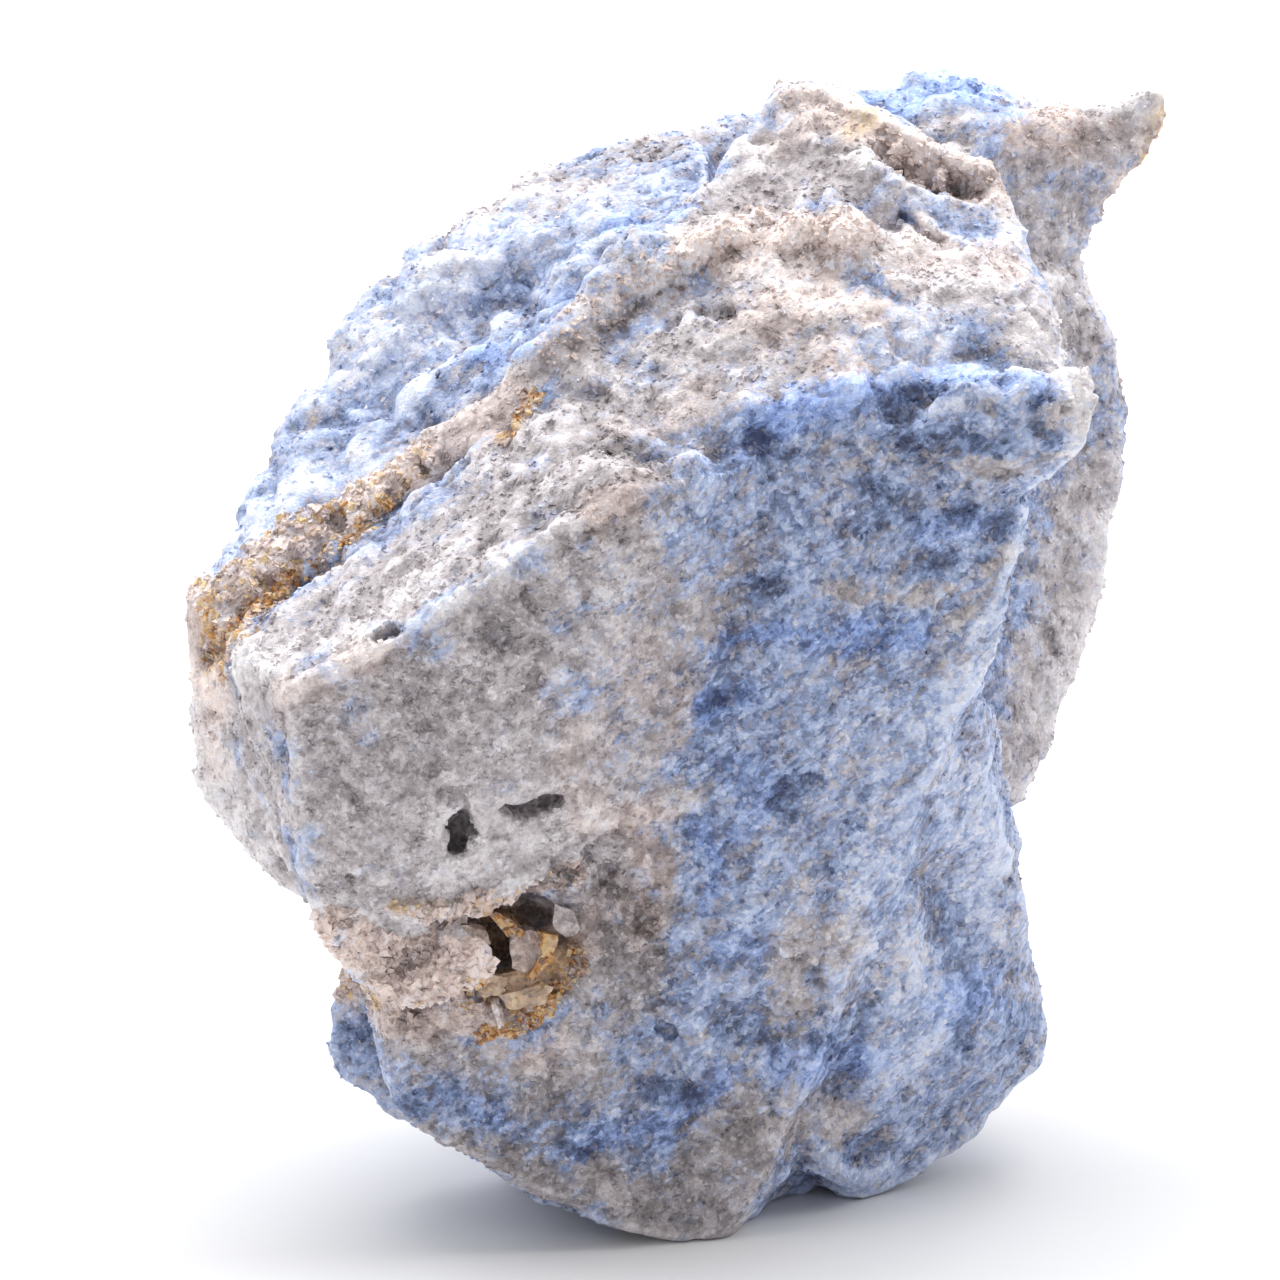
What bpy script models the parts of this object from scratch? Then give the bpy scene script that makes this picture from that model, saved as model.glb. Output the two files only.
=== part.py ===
"""Rough dumortierite: one natural stone of blue dumortierite grown through grey-beige quartz.

The stone stands on a small flat spot under its lower front. X is to its right, Y goes to its back and Z up,
with the origin on the ground under the middle of its bounding box. Lengths are millimetres until the end.
"""
import bmesh
import bpy
import numpy as np
from mathutils import Matrix, Vector, noise

STONE = "dumortierite"
METRES_PER_MM = 0.001

# Fineness of the finished solid
SKIN_VOXEL = 0.5
TRIANGLES = 9500

# Blocks between the main fracture faces, each given by its corners
MAIN_BODY = (
    (-13.2, -14.4, 6.8), (-13.2, -14.2, 12.5), (-4.0, -13.5, 33.0), (0.7, -13.8, 37.4),
    (7.3, -13.1, 40.6), (12.0, -12.6, 40.2), (15.5, -11.2, 34.4), (14.6, -11.2, 31.0),
    (14.1, -11.6, 28.8), (12.9, -11.9, 27.2), (8.5, -11.0, 16.0), (4.6, -11.0, 5.0),
    (1.8, -11.8, -0.4), (-1.8, -12.8, 0.2), (-3.8, -13.4, 1.8), (-6.6, -13.6, 3.2), (-17.5, -6.4, 32.6),
    (-12.9, -7.6, 34.8), (-8.3, -7.7, 38.2), (-5.6, -7.2, 41.5), (-14.0, -7.0, 9.0),
    (-15.0, -10.0, 16.0), (12.0, 2.0, 38.0), (12.0, 2.0, 20.0), (9.0, 0.0, 4.0),
    (7.5, -2.0, -0.6), (-7.6, -1.0, -0.6), (-9.0, 4.0, 8.0), (6.0, 8.0, 6.0),
)
LEFT_FLANK = (
    (-22.7, -7.4, 29.4), (-21.8, -6.9, 30.4), (-22.7, -8.2, 24.9), (-22.4, -9.2, 21.3),
    (-21.2, -9.9, 18.8), (-19.4, -10.8, 17.6), (-17.4, -11.6, 16.8), (-16.4, -15.0, 16.6),
    (-20.6, -10.4, 28.4), (-17.6, -6.2, 33.0), (-12.0, -8.0, 33.6), (-14.0, -6.0, 16.4),
    (-12.0, -2.0, 17.0), (-19.6, -2.0, 21.0), (-20.0, -2.2, 32.0), (-10.0, -12.0, 28.0),
)
BACK_SLOPE = (
    (-21.3, -6.0, 30.4), (-22.0, -6.0, 27.0), (-19.5, -2.0, 32.8), (-18.4, 0.5, 36.6),
    (-14.7, 4.5, 41.4), (-9.5, 8.0, 43.9), (-4.0, 12.2, 46.9), (0.8, 12.4, 47.5),
    (1.6, 0.6, 45.4), (-1.5, -4.2, 42.2), (-5.6, -5.6, 39.4), (-10.0, -6.2, 35.6),
    (-17.0, -5.0, 31.6), (-20.0, -4.0, 21.0), (-14.0, 8.0, 26.0), (-16.0, 2.0, 18.0),
    (2.0, 13.0, 26.0), (-6.0, 12.0, 30.0), (4.0, -6.0, 30.0),
)
CREST = (
    (4.0, 2.2, 50.6), (5.2, 2.8, 51.5), (7.2, 2.4, 51.5), (9.9, -0.5, 49.7),
    (14.6, -2.0, 47.9), (15.6, -3.8, 46.2), (16.7, -6.3, 43.5), (17.0, -8.6, 40.4),
    (15.5, -11.5, 40.3), (7.3, -12.5, 40.6), (0.7, -12.8, 37.6), (-5.8, -7.0, 42.0),
    (-3.8, -6.1, 43.5), (-1.5, -5.2, 44.9), (2.5, -4.0, 46.0), (2.6, -1.5, 46.9), (3.3, 0.6, 48.6),
    (13.0, 2.5, 46.0), (6.0, 6.0, 47.0), (12.5, 4.0, 30.0), (-2.0, 4.0, 30.0),
)
GREY_BLOCK = (
    (-20.2, -13.8, 28.4), (-17.8, -17.2, 27.4), (-13.6, -17.5, 28.0), (-9.0, -18.0, 32.0),
    (-6.0, -17.8, 34.6), (-2.4, -17.2, 36.8), (3.4, -13.9, 37.6), (1.6, -13.4, 26.0),
    (-3.6, -14.5, 20.3), (-7.4, -15.2, 17.8), (-10.9, -16.4, 16.4), (-15.2, -17.0, 14.8),
    (-16.8, -16.6, 16.8), (-17.0, -17.2, 19.5), (-18.9, -12.8, 20.0), (-20.6, -10.2, 28.2),
    (-17.4, -8.8, 31.0), (-13.5, -8.5, 33.4), (-11.0, -8.7, 35.2), (-8.3, -8.9, 37.4),
    (-5.6, -8.6, 39.8), (-2.6, -9.6, 39.6), (-8.0, -8.0, 18.0),
)
VEIN_STEP = (
    (-20.0, -9.0, 29.8), (-17.6, -9.0, 31.3), (-13.6, -8.8, 33.6), (-11.0, -9.0, 35.5), (-19.8, -7.2, 31.2),
    (-17.5, -6.8, 32.9), (-12.9, -7.0, 35.6), (-10.6, -7.3, 37.1), (-12.0, -4.0, 33.0), (-18.0, -4.0, 29.0),
)
RIDGE_STEP = (
    (-11.0, -9.0, 35.5), (-9.6, -9.1, 36.4), (-8.2, -9.1, 37.6), (-5.6, -8.9, 40.0), (-3.2, -8.8, 41.2),
    (-10.6, -7.3, 37.1), (-8.0, -7.3, 39.2), (-5.6, -7.0, 41.7), (-3.0, -6.8, 42.8), (-6.0, -4.0, 37.0),
)
CRUMBLED_LEDGE = (
    (-15.7, -15.8, 15.5), (-15.1, -15.9, 14.2), (-14.5, -16.3, 13.5), (-12.9, -16.7, 13.1), (-11.3, -16.6, 13.2),
    (-9.6, -16.7, 13.7), (-8.4, -16.7, 14.5), (-8.6, -16.0, 15.5), (-10.5, -15.6, 16.3), (-15.5, -15.7, 16.8),
    (-15.2, -11.2, 14.3), (-12.9, -11.8, 12.1), (-9.3, -11.9, 13.5), (-9.3, -11.4, 15.5), (-12.9, -10.9, 15.4),
)
RIGHT_KNOB = (
    (18.7, -12.8, 39.6), (18.1, -11.8, 41.1), (18.0, -12.7, 38.0), (17.2, -12.6, 36.7),
    (16.3, -11.6, 35.7), (10.0, -13.4, 40.6), (10.0, -12.7, 35.0), (12.0, -8.0, 40.4),
    (17.0, -9.0, 40.6), (14.0, -8.0, 36.0),
)
FIN_HORN = (
    (-4.0, 12.2, 46.4), (0.8, 12.4, 47.2), (6.0, 13.5, 47.4), (8.8, 16.0, 47.7),
    (11.9, 16.8, 49.3), (16.4, 15.4, 48.4), (23.2, 14.7, 48.8), (22.9, 14.2, 46.0),
    (21.5, 13.9, 44.2), (23.0, 16.2, 47.6),
    (19.8, 12.6, 41.0), (12.0, 11.0, 46.0), (12.0, 10.0, 38.0), (19.0, 17.0, 44.0),
    (14.0, 19.0, 44.0), (2.0, 17.4, 40.0),
)
FIN_SLAB = (
    (19.9, 12.4, 40.6), (20.2, 12.0, 38.2), (20.8, 11.0, 34.8), (21.4, 10.4, 32.2),
    (20.9, 9.4, 28.6), (20.2, 8.5, 25.0), (18.7, 7.0, 21.8), (16.9, 5.4, 18.5),
    (16.2, 4.2, 16.2), (10.0, 4.0, 40.0), (10.0, 0.0, 22.0), (19.0, 17.0, 40.0),
    (14.0, 19.0, 42.0), (0.0, 17.0, 40.0), (-8.0, 12.5, 34.0), (-6.0, 12.5, 22.0),
    (6.0, 16.0, 18.0), (12.0, 12.0, 12.0), (18.0, 12.0, 24.0),
)
LOWER_RIGHT = (
    (12.8, -10.6, 26.8), (14.6, -3.9, 22.4), (15.2, -1.4, 17.0), (14.9, -1.6, 12.8),
    (17.1, -1.5, 8.0), (16.8, -1.9, 5.8), (15.1, -2.6, 3.1), (13.0, -3.6, 1.6),
    (8.8, -5.7, 0.0), (10.4, -4.9, 1.3), (8.4, -8.6, 6.0), (8.6, -9.6, 16.0), (11.0, -9.8, 24.0),
    (14.2, 3.4, 17.0), (15.4, 5.0, 8.0), (9.0, 7.0, 2.0), (4.0, 4.0, -0.6),
    (0.0, 2.0, 10.0), (4.0, 0.0, 24.0),
)
REAR_SHOULDER = (
    (1.0, 4.5, 44.2), (7.5, 5.5, 44.6), (12.5, 4.0, 43.0), (14.5, 8.5, 41.5),
    (15.0, 12.5, 43.0), (6.0, 13.5, 46.2), (0.0, 12.0, 45.6), (-3.0, 8.0, 44.0),
    (14.0, 6.0, 30.0), (2.0, 6.0, 30.0), (14.0, 12.0, 28.0), (0.0, 12.0, 30.0),
)
REAR_FOOT = (
    (-6.5, 3.0, -0.6), (-2.0, 6.5, -0.6), (5.0, 6.0, -0.6), (9.0, 2.0, -0.6),
    (-11.0, 8.0, 17.0), (-4.0, 13.4, 22.0), (7.0, 14.6, 17.0), (13.0, 10.0, 12.0),
    (12.5, 6.0, 4.0), (-10.0, 2.0, 6.0), (-8.0, 9.0, 9.0), (4.0, 11.0, 7.0),
    (0.0, -4.0, 8.0), (4.0, 0.0, 24.0),
)
REAR_BUMP = (
    (-13.4, -8.8, 4.6), (-15.9, -7.8, 7.0), (-16.3, -7.6, 8.8), (-15.0, -7.4, 10.6),
    (-15.0, -7.0, 16.0), (-13.6, -3.0, 5.0), (-14.0, -1.0, 13.0), (-10.0, -10.0, 14.0),
    (-9.0, -8.0, 3.2), (-8.0, 0.0, 3.0), (-8.0, 2.0, 16.0),
)
FOOT_LUMP = (
    (5.0, -9.6, 4.8), (7.4, -8.2, 1.3), (9.6, -6.6, 1.8), (9.7, -7.2, 5.6),
    (6.2, -8.9, 7.2), (5.4, -6.0, 0.6), (8.8, -5.2, -0.4), (9.0, -3.0, 4.0),
)
BLOCKS = {
    "main_body": MAIN_BODY,
    "left_flank": LEFT_FLANK,
    "back_slope": BACK_SLOPE,
    "crest": CREST,
    "grey_block": GREY_BLOCK,
    "vein_step": VEIN_STEP,
    "ridge_step": RIDGE_STEP,
    "crumbled_ledge": CRUMBLED_LEDGE,
    "right_knob": RIGHT_KNOB,
    "fin_horn": FIN_HORN,
    "fin_slab": FIN_SLAB,
    "lower_right": LOWER_RIGHT,
    "rear_shoulder": REAR_SHOULDER,
    "rear_foot": REAR_FOOT,
    "rear_bump": REAR_BUMP,
    "foot_lump": FOOT_LUMP,
}


# The vug under the grey block and the pits beside it: rim as seen from the front (X, Z), then Y and depth
VUG_RIM = (
    (-10.7, 15.4), (-8.8, 16.6), (-7.0, 17.3), (-5.2, 16.4), (-4.5, 14.6),
    (-5.6, 12.3), (-7.9, 11.0), (-9.5, 11.8), (-10.3, 13.4),
)
VUG_FRONT = -14.3
VUG_DEPTH = 3.4
PIT_RIM = ((-10.8, 22.2), (-9.6, 22.5), (-9.3, 21.0), (-9.7, 19.9), (-10.7, 20.2))
PIT_FRONT = -16.8
PIT_DEPTH = 2.6
SLIT_RIM = ((-8.3, 22.3), (-5.4, 22.5), (-5.5, 21.6), (-8.0, 21.4))
SLIT_FRONT = -16.2
SLIT_DEPTH = 2.2
HOLLOW_TAPER = 0.62

# Plates of quartz that stand in the vug
VUG_PLATES = (
    ((-6.2, -13.2, 15.4), (-4.6, -12.6, 14.6), (-5.6, -13.8, 12.4), (-8.2, -13.5, 12.4),
     (-7.6, -12.2, 14.6), (-5.0, -10.4, 13.0), (-7.4, -10.6, 12.6), (-6.4, -10.4, 15.2)),
    (
        (-10.7, -16.5, 16.2), (-8.8, -16.8, 15.7), (-8.3, -17.0, 14.7), (-9.5, -17.0, 13.7), (-11.0, -16.9, 14.0),
        (-10.7, -14.5, 15.3), (-9.0, -14.6, 14.9), (-8.8, -14.8, 14.1), (-9.7, -15.0, 13.4),
    ),
)

# Relief worked on the skin: a path, half its width, and its height (below zero it is a groove)
SEAM = (
    (-21.9, -9.0, 26.8), (-20.3, -10.7, 28.3), (-19.2, -9.7, 29.6), (-17.4, -9.2, 31.1), (-15.6, -9.0, 32.2),
    (-13.5, -9.0, 33.3), (-11.0, -9.1, 35.3), (-9.9, -9.2, 36.0),
)
VEIN = (
    (-19.7, -7.4, 31.2), (-17.5, -6.9, 32.5), (-15.2, -6.9, 33.9), (-12.9, -7.2, 35.3), (-10.6, -7.6, 36.8),
    (-8.3, -7.5, 38.7), (-6.4, -7.2, 40.6),
)
STROKES = (
    ("seam", SEAM, 0.6, -0.6),
    ("vein", VEIN, 1.0, 0.3),
    ("lump at the left tip", ((-20.2, -8.8, 29.6), (-19.4, -8.2, 30.4)), 1.8, 0.6),
    ("deep end of the seam", ((-10.9, -9.1, 35.3), (-9.7, -9.2, 36.1)), 0.7, -0.8),
    ("hollow behind the vein", ((-12.4, -4.6, 36.2), (-10.8, -5.0, 37.0)), 1.8, -0.7),
    ("hollow on the back slope", ((-8.9, 0.2, 41.6), (-7.9, 0.8, 42.0)), 2.3, -1.1),
    ("lower hollow on the back slope", ((-14.4, -1.8, 37.2), (-13.4, -1.4, 37.8)), 2.0, -1.0),
    ("middle hollow on the back slope", ((-11.6, 0.0, 40.0), (-10.6, 0.2, 40.4)), 1.6, -0.7),
    ("rib on the back slope", ((-12.0, 2.6, 41.2), (-7.0, 3.6, 43.0), (-3.0, 3.6, 44.2)), 1.8, 0.7),
    ("ridge", ((-6.4, -7.4, 41.2), (-3.8, -6.1, 43.2), (-1.5, -5.3, 44.6), (2.5, -4.1, 45.6)), 1.1, 0.9),
    ("trough under the ridge", ((-1.6, -6.8, 43.2), (1.2, -6.6, 44.0)), 1.0, -0.7),
    ("hollow under the crest", ((9.1, -1.6, 48.9), (10.3, -2.3, 48.2)), 0.65, -1.2),
    ("hollow under the end of the crest", ((11.6, -2.4, 48.0), (13.2, -2.9, 47.8)), 0.75, -1.4),
    ("lobe under the crest", ((8.2, -2.8, 48.0), (10.4, -3.5, 47.2)), 0.7, 0.5),
    ("hollow beside the bump", ((8.6, -4.8, 46.6), (9.8, -4.8, 46.4)), 0.7, -0.9),
    ("clear quartz bump", ((5.2, -5.4, 45.8), (7.4, -6.0, 45.4)), 1.1, 1.5),
    ("shelf below the bump", ((4.0, -8.0, 43.4), (8.0, -8.6, 43.2), (12.0, -8.4, 43.2)), 1.8, 0.6),
    ("notch in the front edge", ((9.4, -12.9, 40.1), (10.4, -13.0, 40.0)), 1.1, -1.0),
    ("hollow behind the nub", ((-3.0, -12.0, 37.9), (-1.9, -13.0, 37.2)), 1.7, -0.9),
    ("dent in the front edge", ((1.8, -13.4, 38.0), (3.0, -13.6, 38.3)), 1.4, -0.6),
    ("dent in the blue face", ((-1.0, -14.2, 31.8), (0.6, -13.8, 30.6)), 2.2, -0.5),
    ("rib down the blue face", ((6.6, -12.4, 34.0), (4.4, -12.8, 25.0), (3.0, -12.9, 17.0)), 2.4, 0.6),
    ("hollow low on the right", ((11.6, -8.2, 16.2), (12.6, -7.6, 14.2)), 2.2, -1.2),
    ("waist of the right flank", ((15.4, -1.0, 14.8), (15.8, -0.6, 12.0)), 2.4, -0.8),
    ("lump low on the right", ((12.6, -5.6, 8.8), (14.0, -5.0, 7.6)), 2.4, 0.8),
    ("dent above the foot", ((2.8, -12.9, 10.6), (4.4, -12.6, 10.2)), 1.6, -0.7),
    ("pocket beside the foot", ((8.0, -7.4, 3.3), (8.8, -7.0, 3.0)), 1.0, -0.8),
    ("arch beside the foot", ((4.6, -10.2, 0.4), (6.0, -7.4, 0.2)), 1.3, -0.9),
    ("groove down the fin", ((17.8, 11.0, 34.0), (17.2, 8.4, 26.0)), 2.0, -0.9),
    ("saddle of the horn", ((17.6, 15.2, 48.4), (19.4, 15.0, 48.4)), 2.2, -0.9),
    ("waist of the fin", ((21.0, 14.6, 42.6), (20.0, 13.2, 40.0)), 2.2, -0.6),
)

# Lumps and chips all over the skin: wavelength and height of the lumps, size and tilt of the chips
LUMPS = ((7.5, 0.34), (3.4, 0.24), (1.7, 0.10))
CHIP_SIZE = 3.6
CHIP_TILT = 0.09
FRONT_CALM = 0.55
SEED_POINT = Vector((3.7, 11.3, 5.9))


def new_collection(name):
    made = bpy.data.collections.new(name)
    bpy.context.scene.collection.children.link(made)
    return made


def hull(name, corners, collection):
    """A convex block whose corners are the given points."""
    shape = bmesh.new()
    for corner in corners:
        shape.verts.new(corner)
    made = bmesh.ops.convex_hull(shape, input=shape.verts)
    buried = [item for item in made["geom_interior"] if isinstance(item, bmesh.types.BMVert)]
    bmesh.ops.delete(shape, geom=buried, context="VERTS")
    bmesh.ops.recalc_face_normals(shape, faces=shape.faces)
    mesh = bpy.data.meshes.new(name)
    shape.to_mesh(mesh)
    shape.free()
    block = bpy.data.objects.new(name, mesh)
    collection.objects.link(block)
    block.hide_render = True
    block.display_type = "WIRE"
    return block


def hollow_corners(rim, front, depth):
    """Corners of a hollow that runs back from its rim and narrows towards its floor."""
    middle = np.mean(rim, axis=0)
    corners = []
    for x, z in rim:
        floor = middle + HOLLOW_TAPER * (np.array((x, z)) - middle)
        corners.append((x, front - 1.5, z))
        corners.append((x, front, z))
        corners.append((floor[0], front + depth, floor[1]))
    return corners


def add_boolean(stone, block, operation):
    boolean = stone.modifiers.new(block.name, "BOOLEAN")
    boolean.operation = operation
    boolean.object = block


def apply_modifiers(thing):
    """Gives the object the mesh that its modifiers make, and removes them."""
    bpy.context.view_layer.update()
    graph = bpy.context.evaluated_depsgraph_get()
    mesh = bpy.data.meshes.new_from_object(thing.evaluated_get(graph), depsgraph=graph)
    thing.modifiers.clear()
    thing.data = mesh


def build_rough_block(pieces, cutters):
    """The blocks joined in one skin, with the vug and the pits cut into it."""
    blocks = [hull(name, corners, cutters) for name, corners in BLOCKS.items()]
    stone = bpy.data.objects.new(STONE, blocks[0].data.copy())
    pieces.objects.link(stone)
    for block in blocks[1:]:
        add_boolean(stone, block, "UNION")
    hollows = {
        "vug": (VUG_RIM, VUG_FRONT, VUG_DEPTH),
        "pit": (PIT_RIM, PIT_FRONT, PIT_DEPTH),
        "slit": (SLIT_RIM, SLIT_FRONT, SLIT_DEPTH),
    }
    for name, (rim, front, depth) in hollows.items():
        add_boolean(stone, hull(name, hollow_corners(rim, front, depth), cutters), "DIFFERENCE")
    for number, corners in enumerate(VUG_PLATES, 1):
        add_boolean(stone, hull(f"vug_plate_{number}", corners, cutters), "UNION")
    skin = stone.modifiers.new("even_skin", "REMESH")
    skin.mode = "VOXEL"
    skin.voxel_size = SKIN_VOXEL
    apply_modifiers(stone)
    return stone


def read_points(mesh):
    points = np.empty(len(mesh.vertices) * 3)
    mesh.vertices.foreach_get("co", points)
    normals = np.empty(len(mesh.vertices) * 3)
    mesh.vertices.foreach_get("normal", normals)
    return points.reshape(-1, 3), normals.reshape(-1, 3)


def write_points(mesh, points):
    mesh.vertices.foreach_set("co", points.astype(np.float32).ravel())
    mesh.update()


def distance_to_path(points, path):
    nearest = np.full(len(points), np.inf)
    for start, end in zip(path[:-1], path[1:]):
        start = np.array(start)
        run = np.array(end) - start
        share = np.clip((points - start) @ run / (run @ run), 0.0, 1.0)
        gap = np.linalg.norm(points - start - share[:, None] * run, axis=1)
        nearest = np.minimum(nearest, gap)
    return nearest


def work_strokes(mesh):
    """Raises or sinks the skin along each stroke, most at its middle and nothing at its edge."""
    points, normals = read_points(mesh)
    lift = np.zeros(len(points))
    for _, path, half_width, height in STROKES:
        share = np.clip(distance_to_path(points, path) / (1.6 * half_width), 0.0, 1.0)
        lift += height * (1.0 - share ** 2) ** 2
    write_points(mesh, points + lift[:, None] * normals)


def chip_height(place):
    """Height over the skin of flat chips, each tilted its own way."""
    cell = noise.voronoi(place / CHIP_SIZE, distance_metric="DISTANCE")[1][0]
    tilt = noise.cell_vector(cell * 7.3) * 2.0 - Vector((1.0, 1.0, 1.0))
    return CHIP_TILT * (place - cell * CHIP_SIZE).dot(tilt)


def work_lumps(mesh):
    points, normals = read_points(mesh)
    lift = np.empty(len(points))
    for index, point in enumerate(points):
        place = Vector(point) + SEED_POINT
        height = chip_height(place)
        for wavelength, size in LUMPS:
            height += size * noise.noise(place / wavelength)
        lift[index] = height * (FRONT_CALM if normals[index, 1] < -0.6 else 1.0)
    write_points(mesh, points + lift[:, None] * normals)


def cut_base(mesh):
    """Cuts the stone off flat at the ground, which leaves the spot that it rests on."""
    shape = bmesh.new()
    shape.from_mesh(mesh)
    everything = shape.verts[:] + shape.edges[:] + shape.faces[:]
    cut = bmesh.ops.bisect_plane(
        shape, geom=everything, plane_co=(0, 0, 0), plane_no=(0, 0, -1), clear_outer=True
    )
    rim = [item for item in cut["geom_cut"] if isinstance(item, bmesh.types.BMEdge)]
    bmesh.ops.holes_fill(shape, edges=rim)
    bmesh.ops.triangulate(shape, faces=shape.faces)
    shape.to_mesh(mesh)
    shape.free()


def thin_out(stone):
    decimate = stone.modifiers.new("fewer_faces", "DECIMATE")
    decimate.ratio = TRIANGLES / (2 * len(stone.data.polygons))
    apply_modifiers(stone)


def settle(mesh):
    """Puts the origin on the ground under the middle of the bounding box, in metres."""
    points, _ = read_points(mesh)
    middle = (points.min(axis=0) + points.max(axis=0)) / 2
    mesh.transform(Matrix.Translation((-middle[0], -middle[1], 0.0)))
    mesh.transform(Matrix.Scale(METRES_PER_MM, 4))


def stone_material():
    material = bpy.data.materials.new("blue_quartz_stone")
    material.use_nodes = True
    shader = material.node_tree.nodes["Principled BSDF"]
    shader.inputs["Base Color"].default_value = (0.34, 0.41, 0.55, 1.0)
    shader.inputs["Roughness"].default_value = 0.75
    shader.inputs["Metallic"].default_value = 0.0
    return material


def main():
    for old in list(bpy.data.objects):
        bpy.data.objects.remove(old, do_unlink=True)
    pieces = new_collection("rough_dumortierite")
    cutters = new_collection("blocks_and_cutters")
    stone = build_rough_block(pieces, cutters)
    work_strokes(stone.data)
    work_lumps(stone.data)
    thin_out(stone)
    cut_base(stone.data)
    settle(stone.data)
    stone.data.materials.clear()
    stone.data.materials.append(stone_material())


if __name__ == "__main__":
    main()
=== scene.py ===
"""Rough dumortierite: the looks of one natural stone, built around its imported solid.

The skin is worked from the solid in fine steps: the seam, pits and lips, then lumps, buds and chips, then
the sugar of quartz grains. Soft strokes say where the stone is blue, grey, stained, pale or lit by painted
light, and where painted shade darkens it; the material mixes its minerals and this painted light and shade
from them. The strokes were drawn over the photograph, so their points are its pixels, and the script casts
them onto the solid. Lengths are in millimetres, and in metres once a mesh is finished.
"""
import itertools
import math

import bmesh
import bpy
import numpy as np
from bpy.props import FloatProperty, FloatVectorProperty, IntProperty, PointerProperty
from mathutils import Matrix, Vector
from mathutils.bvhtree import BVHTree


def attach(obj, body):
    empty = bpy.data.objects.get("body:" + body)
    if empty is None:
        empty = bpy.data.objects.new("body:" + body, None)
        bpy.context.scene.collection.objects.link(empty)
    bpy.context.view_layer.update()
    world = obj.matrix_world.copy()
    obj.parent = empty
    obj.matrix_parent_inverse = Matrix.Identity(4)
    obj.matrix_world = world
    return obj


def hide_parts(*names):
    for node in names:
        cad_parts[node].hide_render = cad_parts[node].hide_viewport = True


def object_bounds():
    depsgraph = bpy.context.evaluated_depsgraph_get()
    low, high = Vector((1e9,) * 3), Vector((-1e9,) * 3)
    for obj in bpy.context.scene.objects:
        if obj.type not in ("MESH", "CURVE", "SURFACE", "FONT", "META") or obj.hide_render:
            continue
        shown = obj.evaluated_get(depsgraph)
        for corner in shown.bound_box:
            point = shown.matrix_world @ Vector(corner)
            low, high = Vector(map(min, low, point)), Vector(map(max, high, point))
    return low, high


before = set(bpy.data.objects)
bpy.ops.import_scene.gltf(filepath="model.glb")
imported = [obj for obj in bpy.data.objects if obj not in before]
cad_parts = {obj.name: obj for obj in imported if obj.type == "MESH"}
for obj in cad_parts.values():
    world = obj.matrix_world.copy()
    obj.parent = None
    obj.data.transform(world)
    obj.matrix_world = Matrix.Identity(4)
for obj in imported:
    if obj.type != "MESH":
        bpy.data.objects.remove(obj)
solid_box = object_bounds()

bl_info = {
    "name": "Rough dumortierite",
    "version": (1, 0, 0),
    "blender": (4, 5, 0),
    "location": "View3D > Sidebar > Stone",
    "description": "Builds a rough stone of blue dumortierite in grey-beige quartz",
    "category": "Add Mesh",
}

NODE = "dumortierite"
BODY = "root"
MM = 0.001
PICTURE_WIDTH = 1280
STREAK_TILT = math.radians(38.0)

# Random numbers: what mixes a cell's place into one number
STEP_X, STEP_Y, STEP_Z, STEP_SALT = 374761393, 668265263, 2147483629, 362437117
FIRST_MIXER, SECOND_MIXER = 1274126177, 2246822519
LOW_BITS = 0xFFFFFFFF
OCTAVE_SALT = 7

# Random fields: size in millimetres, salt, octaves
REGION_EDGE = (1.9, 11, 3)
SUGAR_PATCHES = (2.2, 13, 2)
CARVED_EDGE = (0.8, 23, 2)
LUMPS = (2.6, 31, 3)
BUDS = (2.5, 81, 1)
SMALL_BUDS = (1.1, 85, 1)
ROUGH_PATCHES = (4.0, 47, 2)
STREAKS = (0.55, 71, 2)
GRANULES = (0.4, 111, 1)
PAINT_EDGE = (2.1, 121, 4)
DRIFT_SALT, DRIFT_OCTAVES = 131, 3
GRAIN_PATCHES = (1.6, 161, 2)
PLATE_BUMPS = (0.25, 195, 2)

# Flat facets: size in millimetres, salt
CHIPS = (2.1, 51)
SMALL_CHIPS = (1.05, 61)
GRAINS_SALT = 91
PITS = (1.35, 101)
PLATE_CHIPS = (0.45, 191)

# Bends that keep facets from having straight edges: reach and size in millimetres, salt
BUD_BEND = (0.4, 1.2, 35)
CHIP_BEND = (0.30, 1.0, 41)
GRAIN_BEND = (0.12, 0.4, 89)
PLATE_BEND = (0.1, 0.3, 181)

# The skin's points: smoothing that finds the hollows, depth of a full hollow, and steps of the thinning
SMOOTHING_TURNS = 14
FULL_HOLLOW = 0.16
THINNING_LEVELS = 8

# Small blocks: seeds of the random draws, and the share of their half width that is sunk
GRAIN_SEED, GRAIN_SUNK = 11, 0.45
CRUMB_SEED, CRUMB_SUNK = 23, 0.4
BLOCK_CORNERS = np.array(list(itertools.product((-1.0, 1.0), repeat=3)))
BLOCK_SIDES = ((0, 1, 3, 2), (4, 6, 7, 5), (0, 4, 5, 1), (2, 3, 7, 6), (0, 2, 6, 4), (1, 5, 7, 3))
BLOCK_STRETCH = (1.0, 0.8, 0.6)
PLATE_REAR_SHARE = 0.8
PLATE_REAR_RISE = 0.3
PLATE_CUTS = 4

# Back of the stone, which no stroke reaches: drift size, where it starts, where it is full, most
UNSEEN = {
    "quartz": (9.0, -0.25, 0.35, 0.95),
    "vivid": (5.0, 0.25, 0.7, 0.7),
    "navy": (2.2, 0.42, 0.8, 0.7),
    "shade": (2.6, 0.45, 0.85, 0.7),
    "warm": (7.0, 0.10, 0.6, 0.8),
    "rust": (4.5, 0.62, 0.95, 0.7),
    "pale": (3.5, 0.30, 0.8, 0.6),
}
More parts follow.
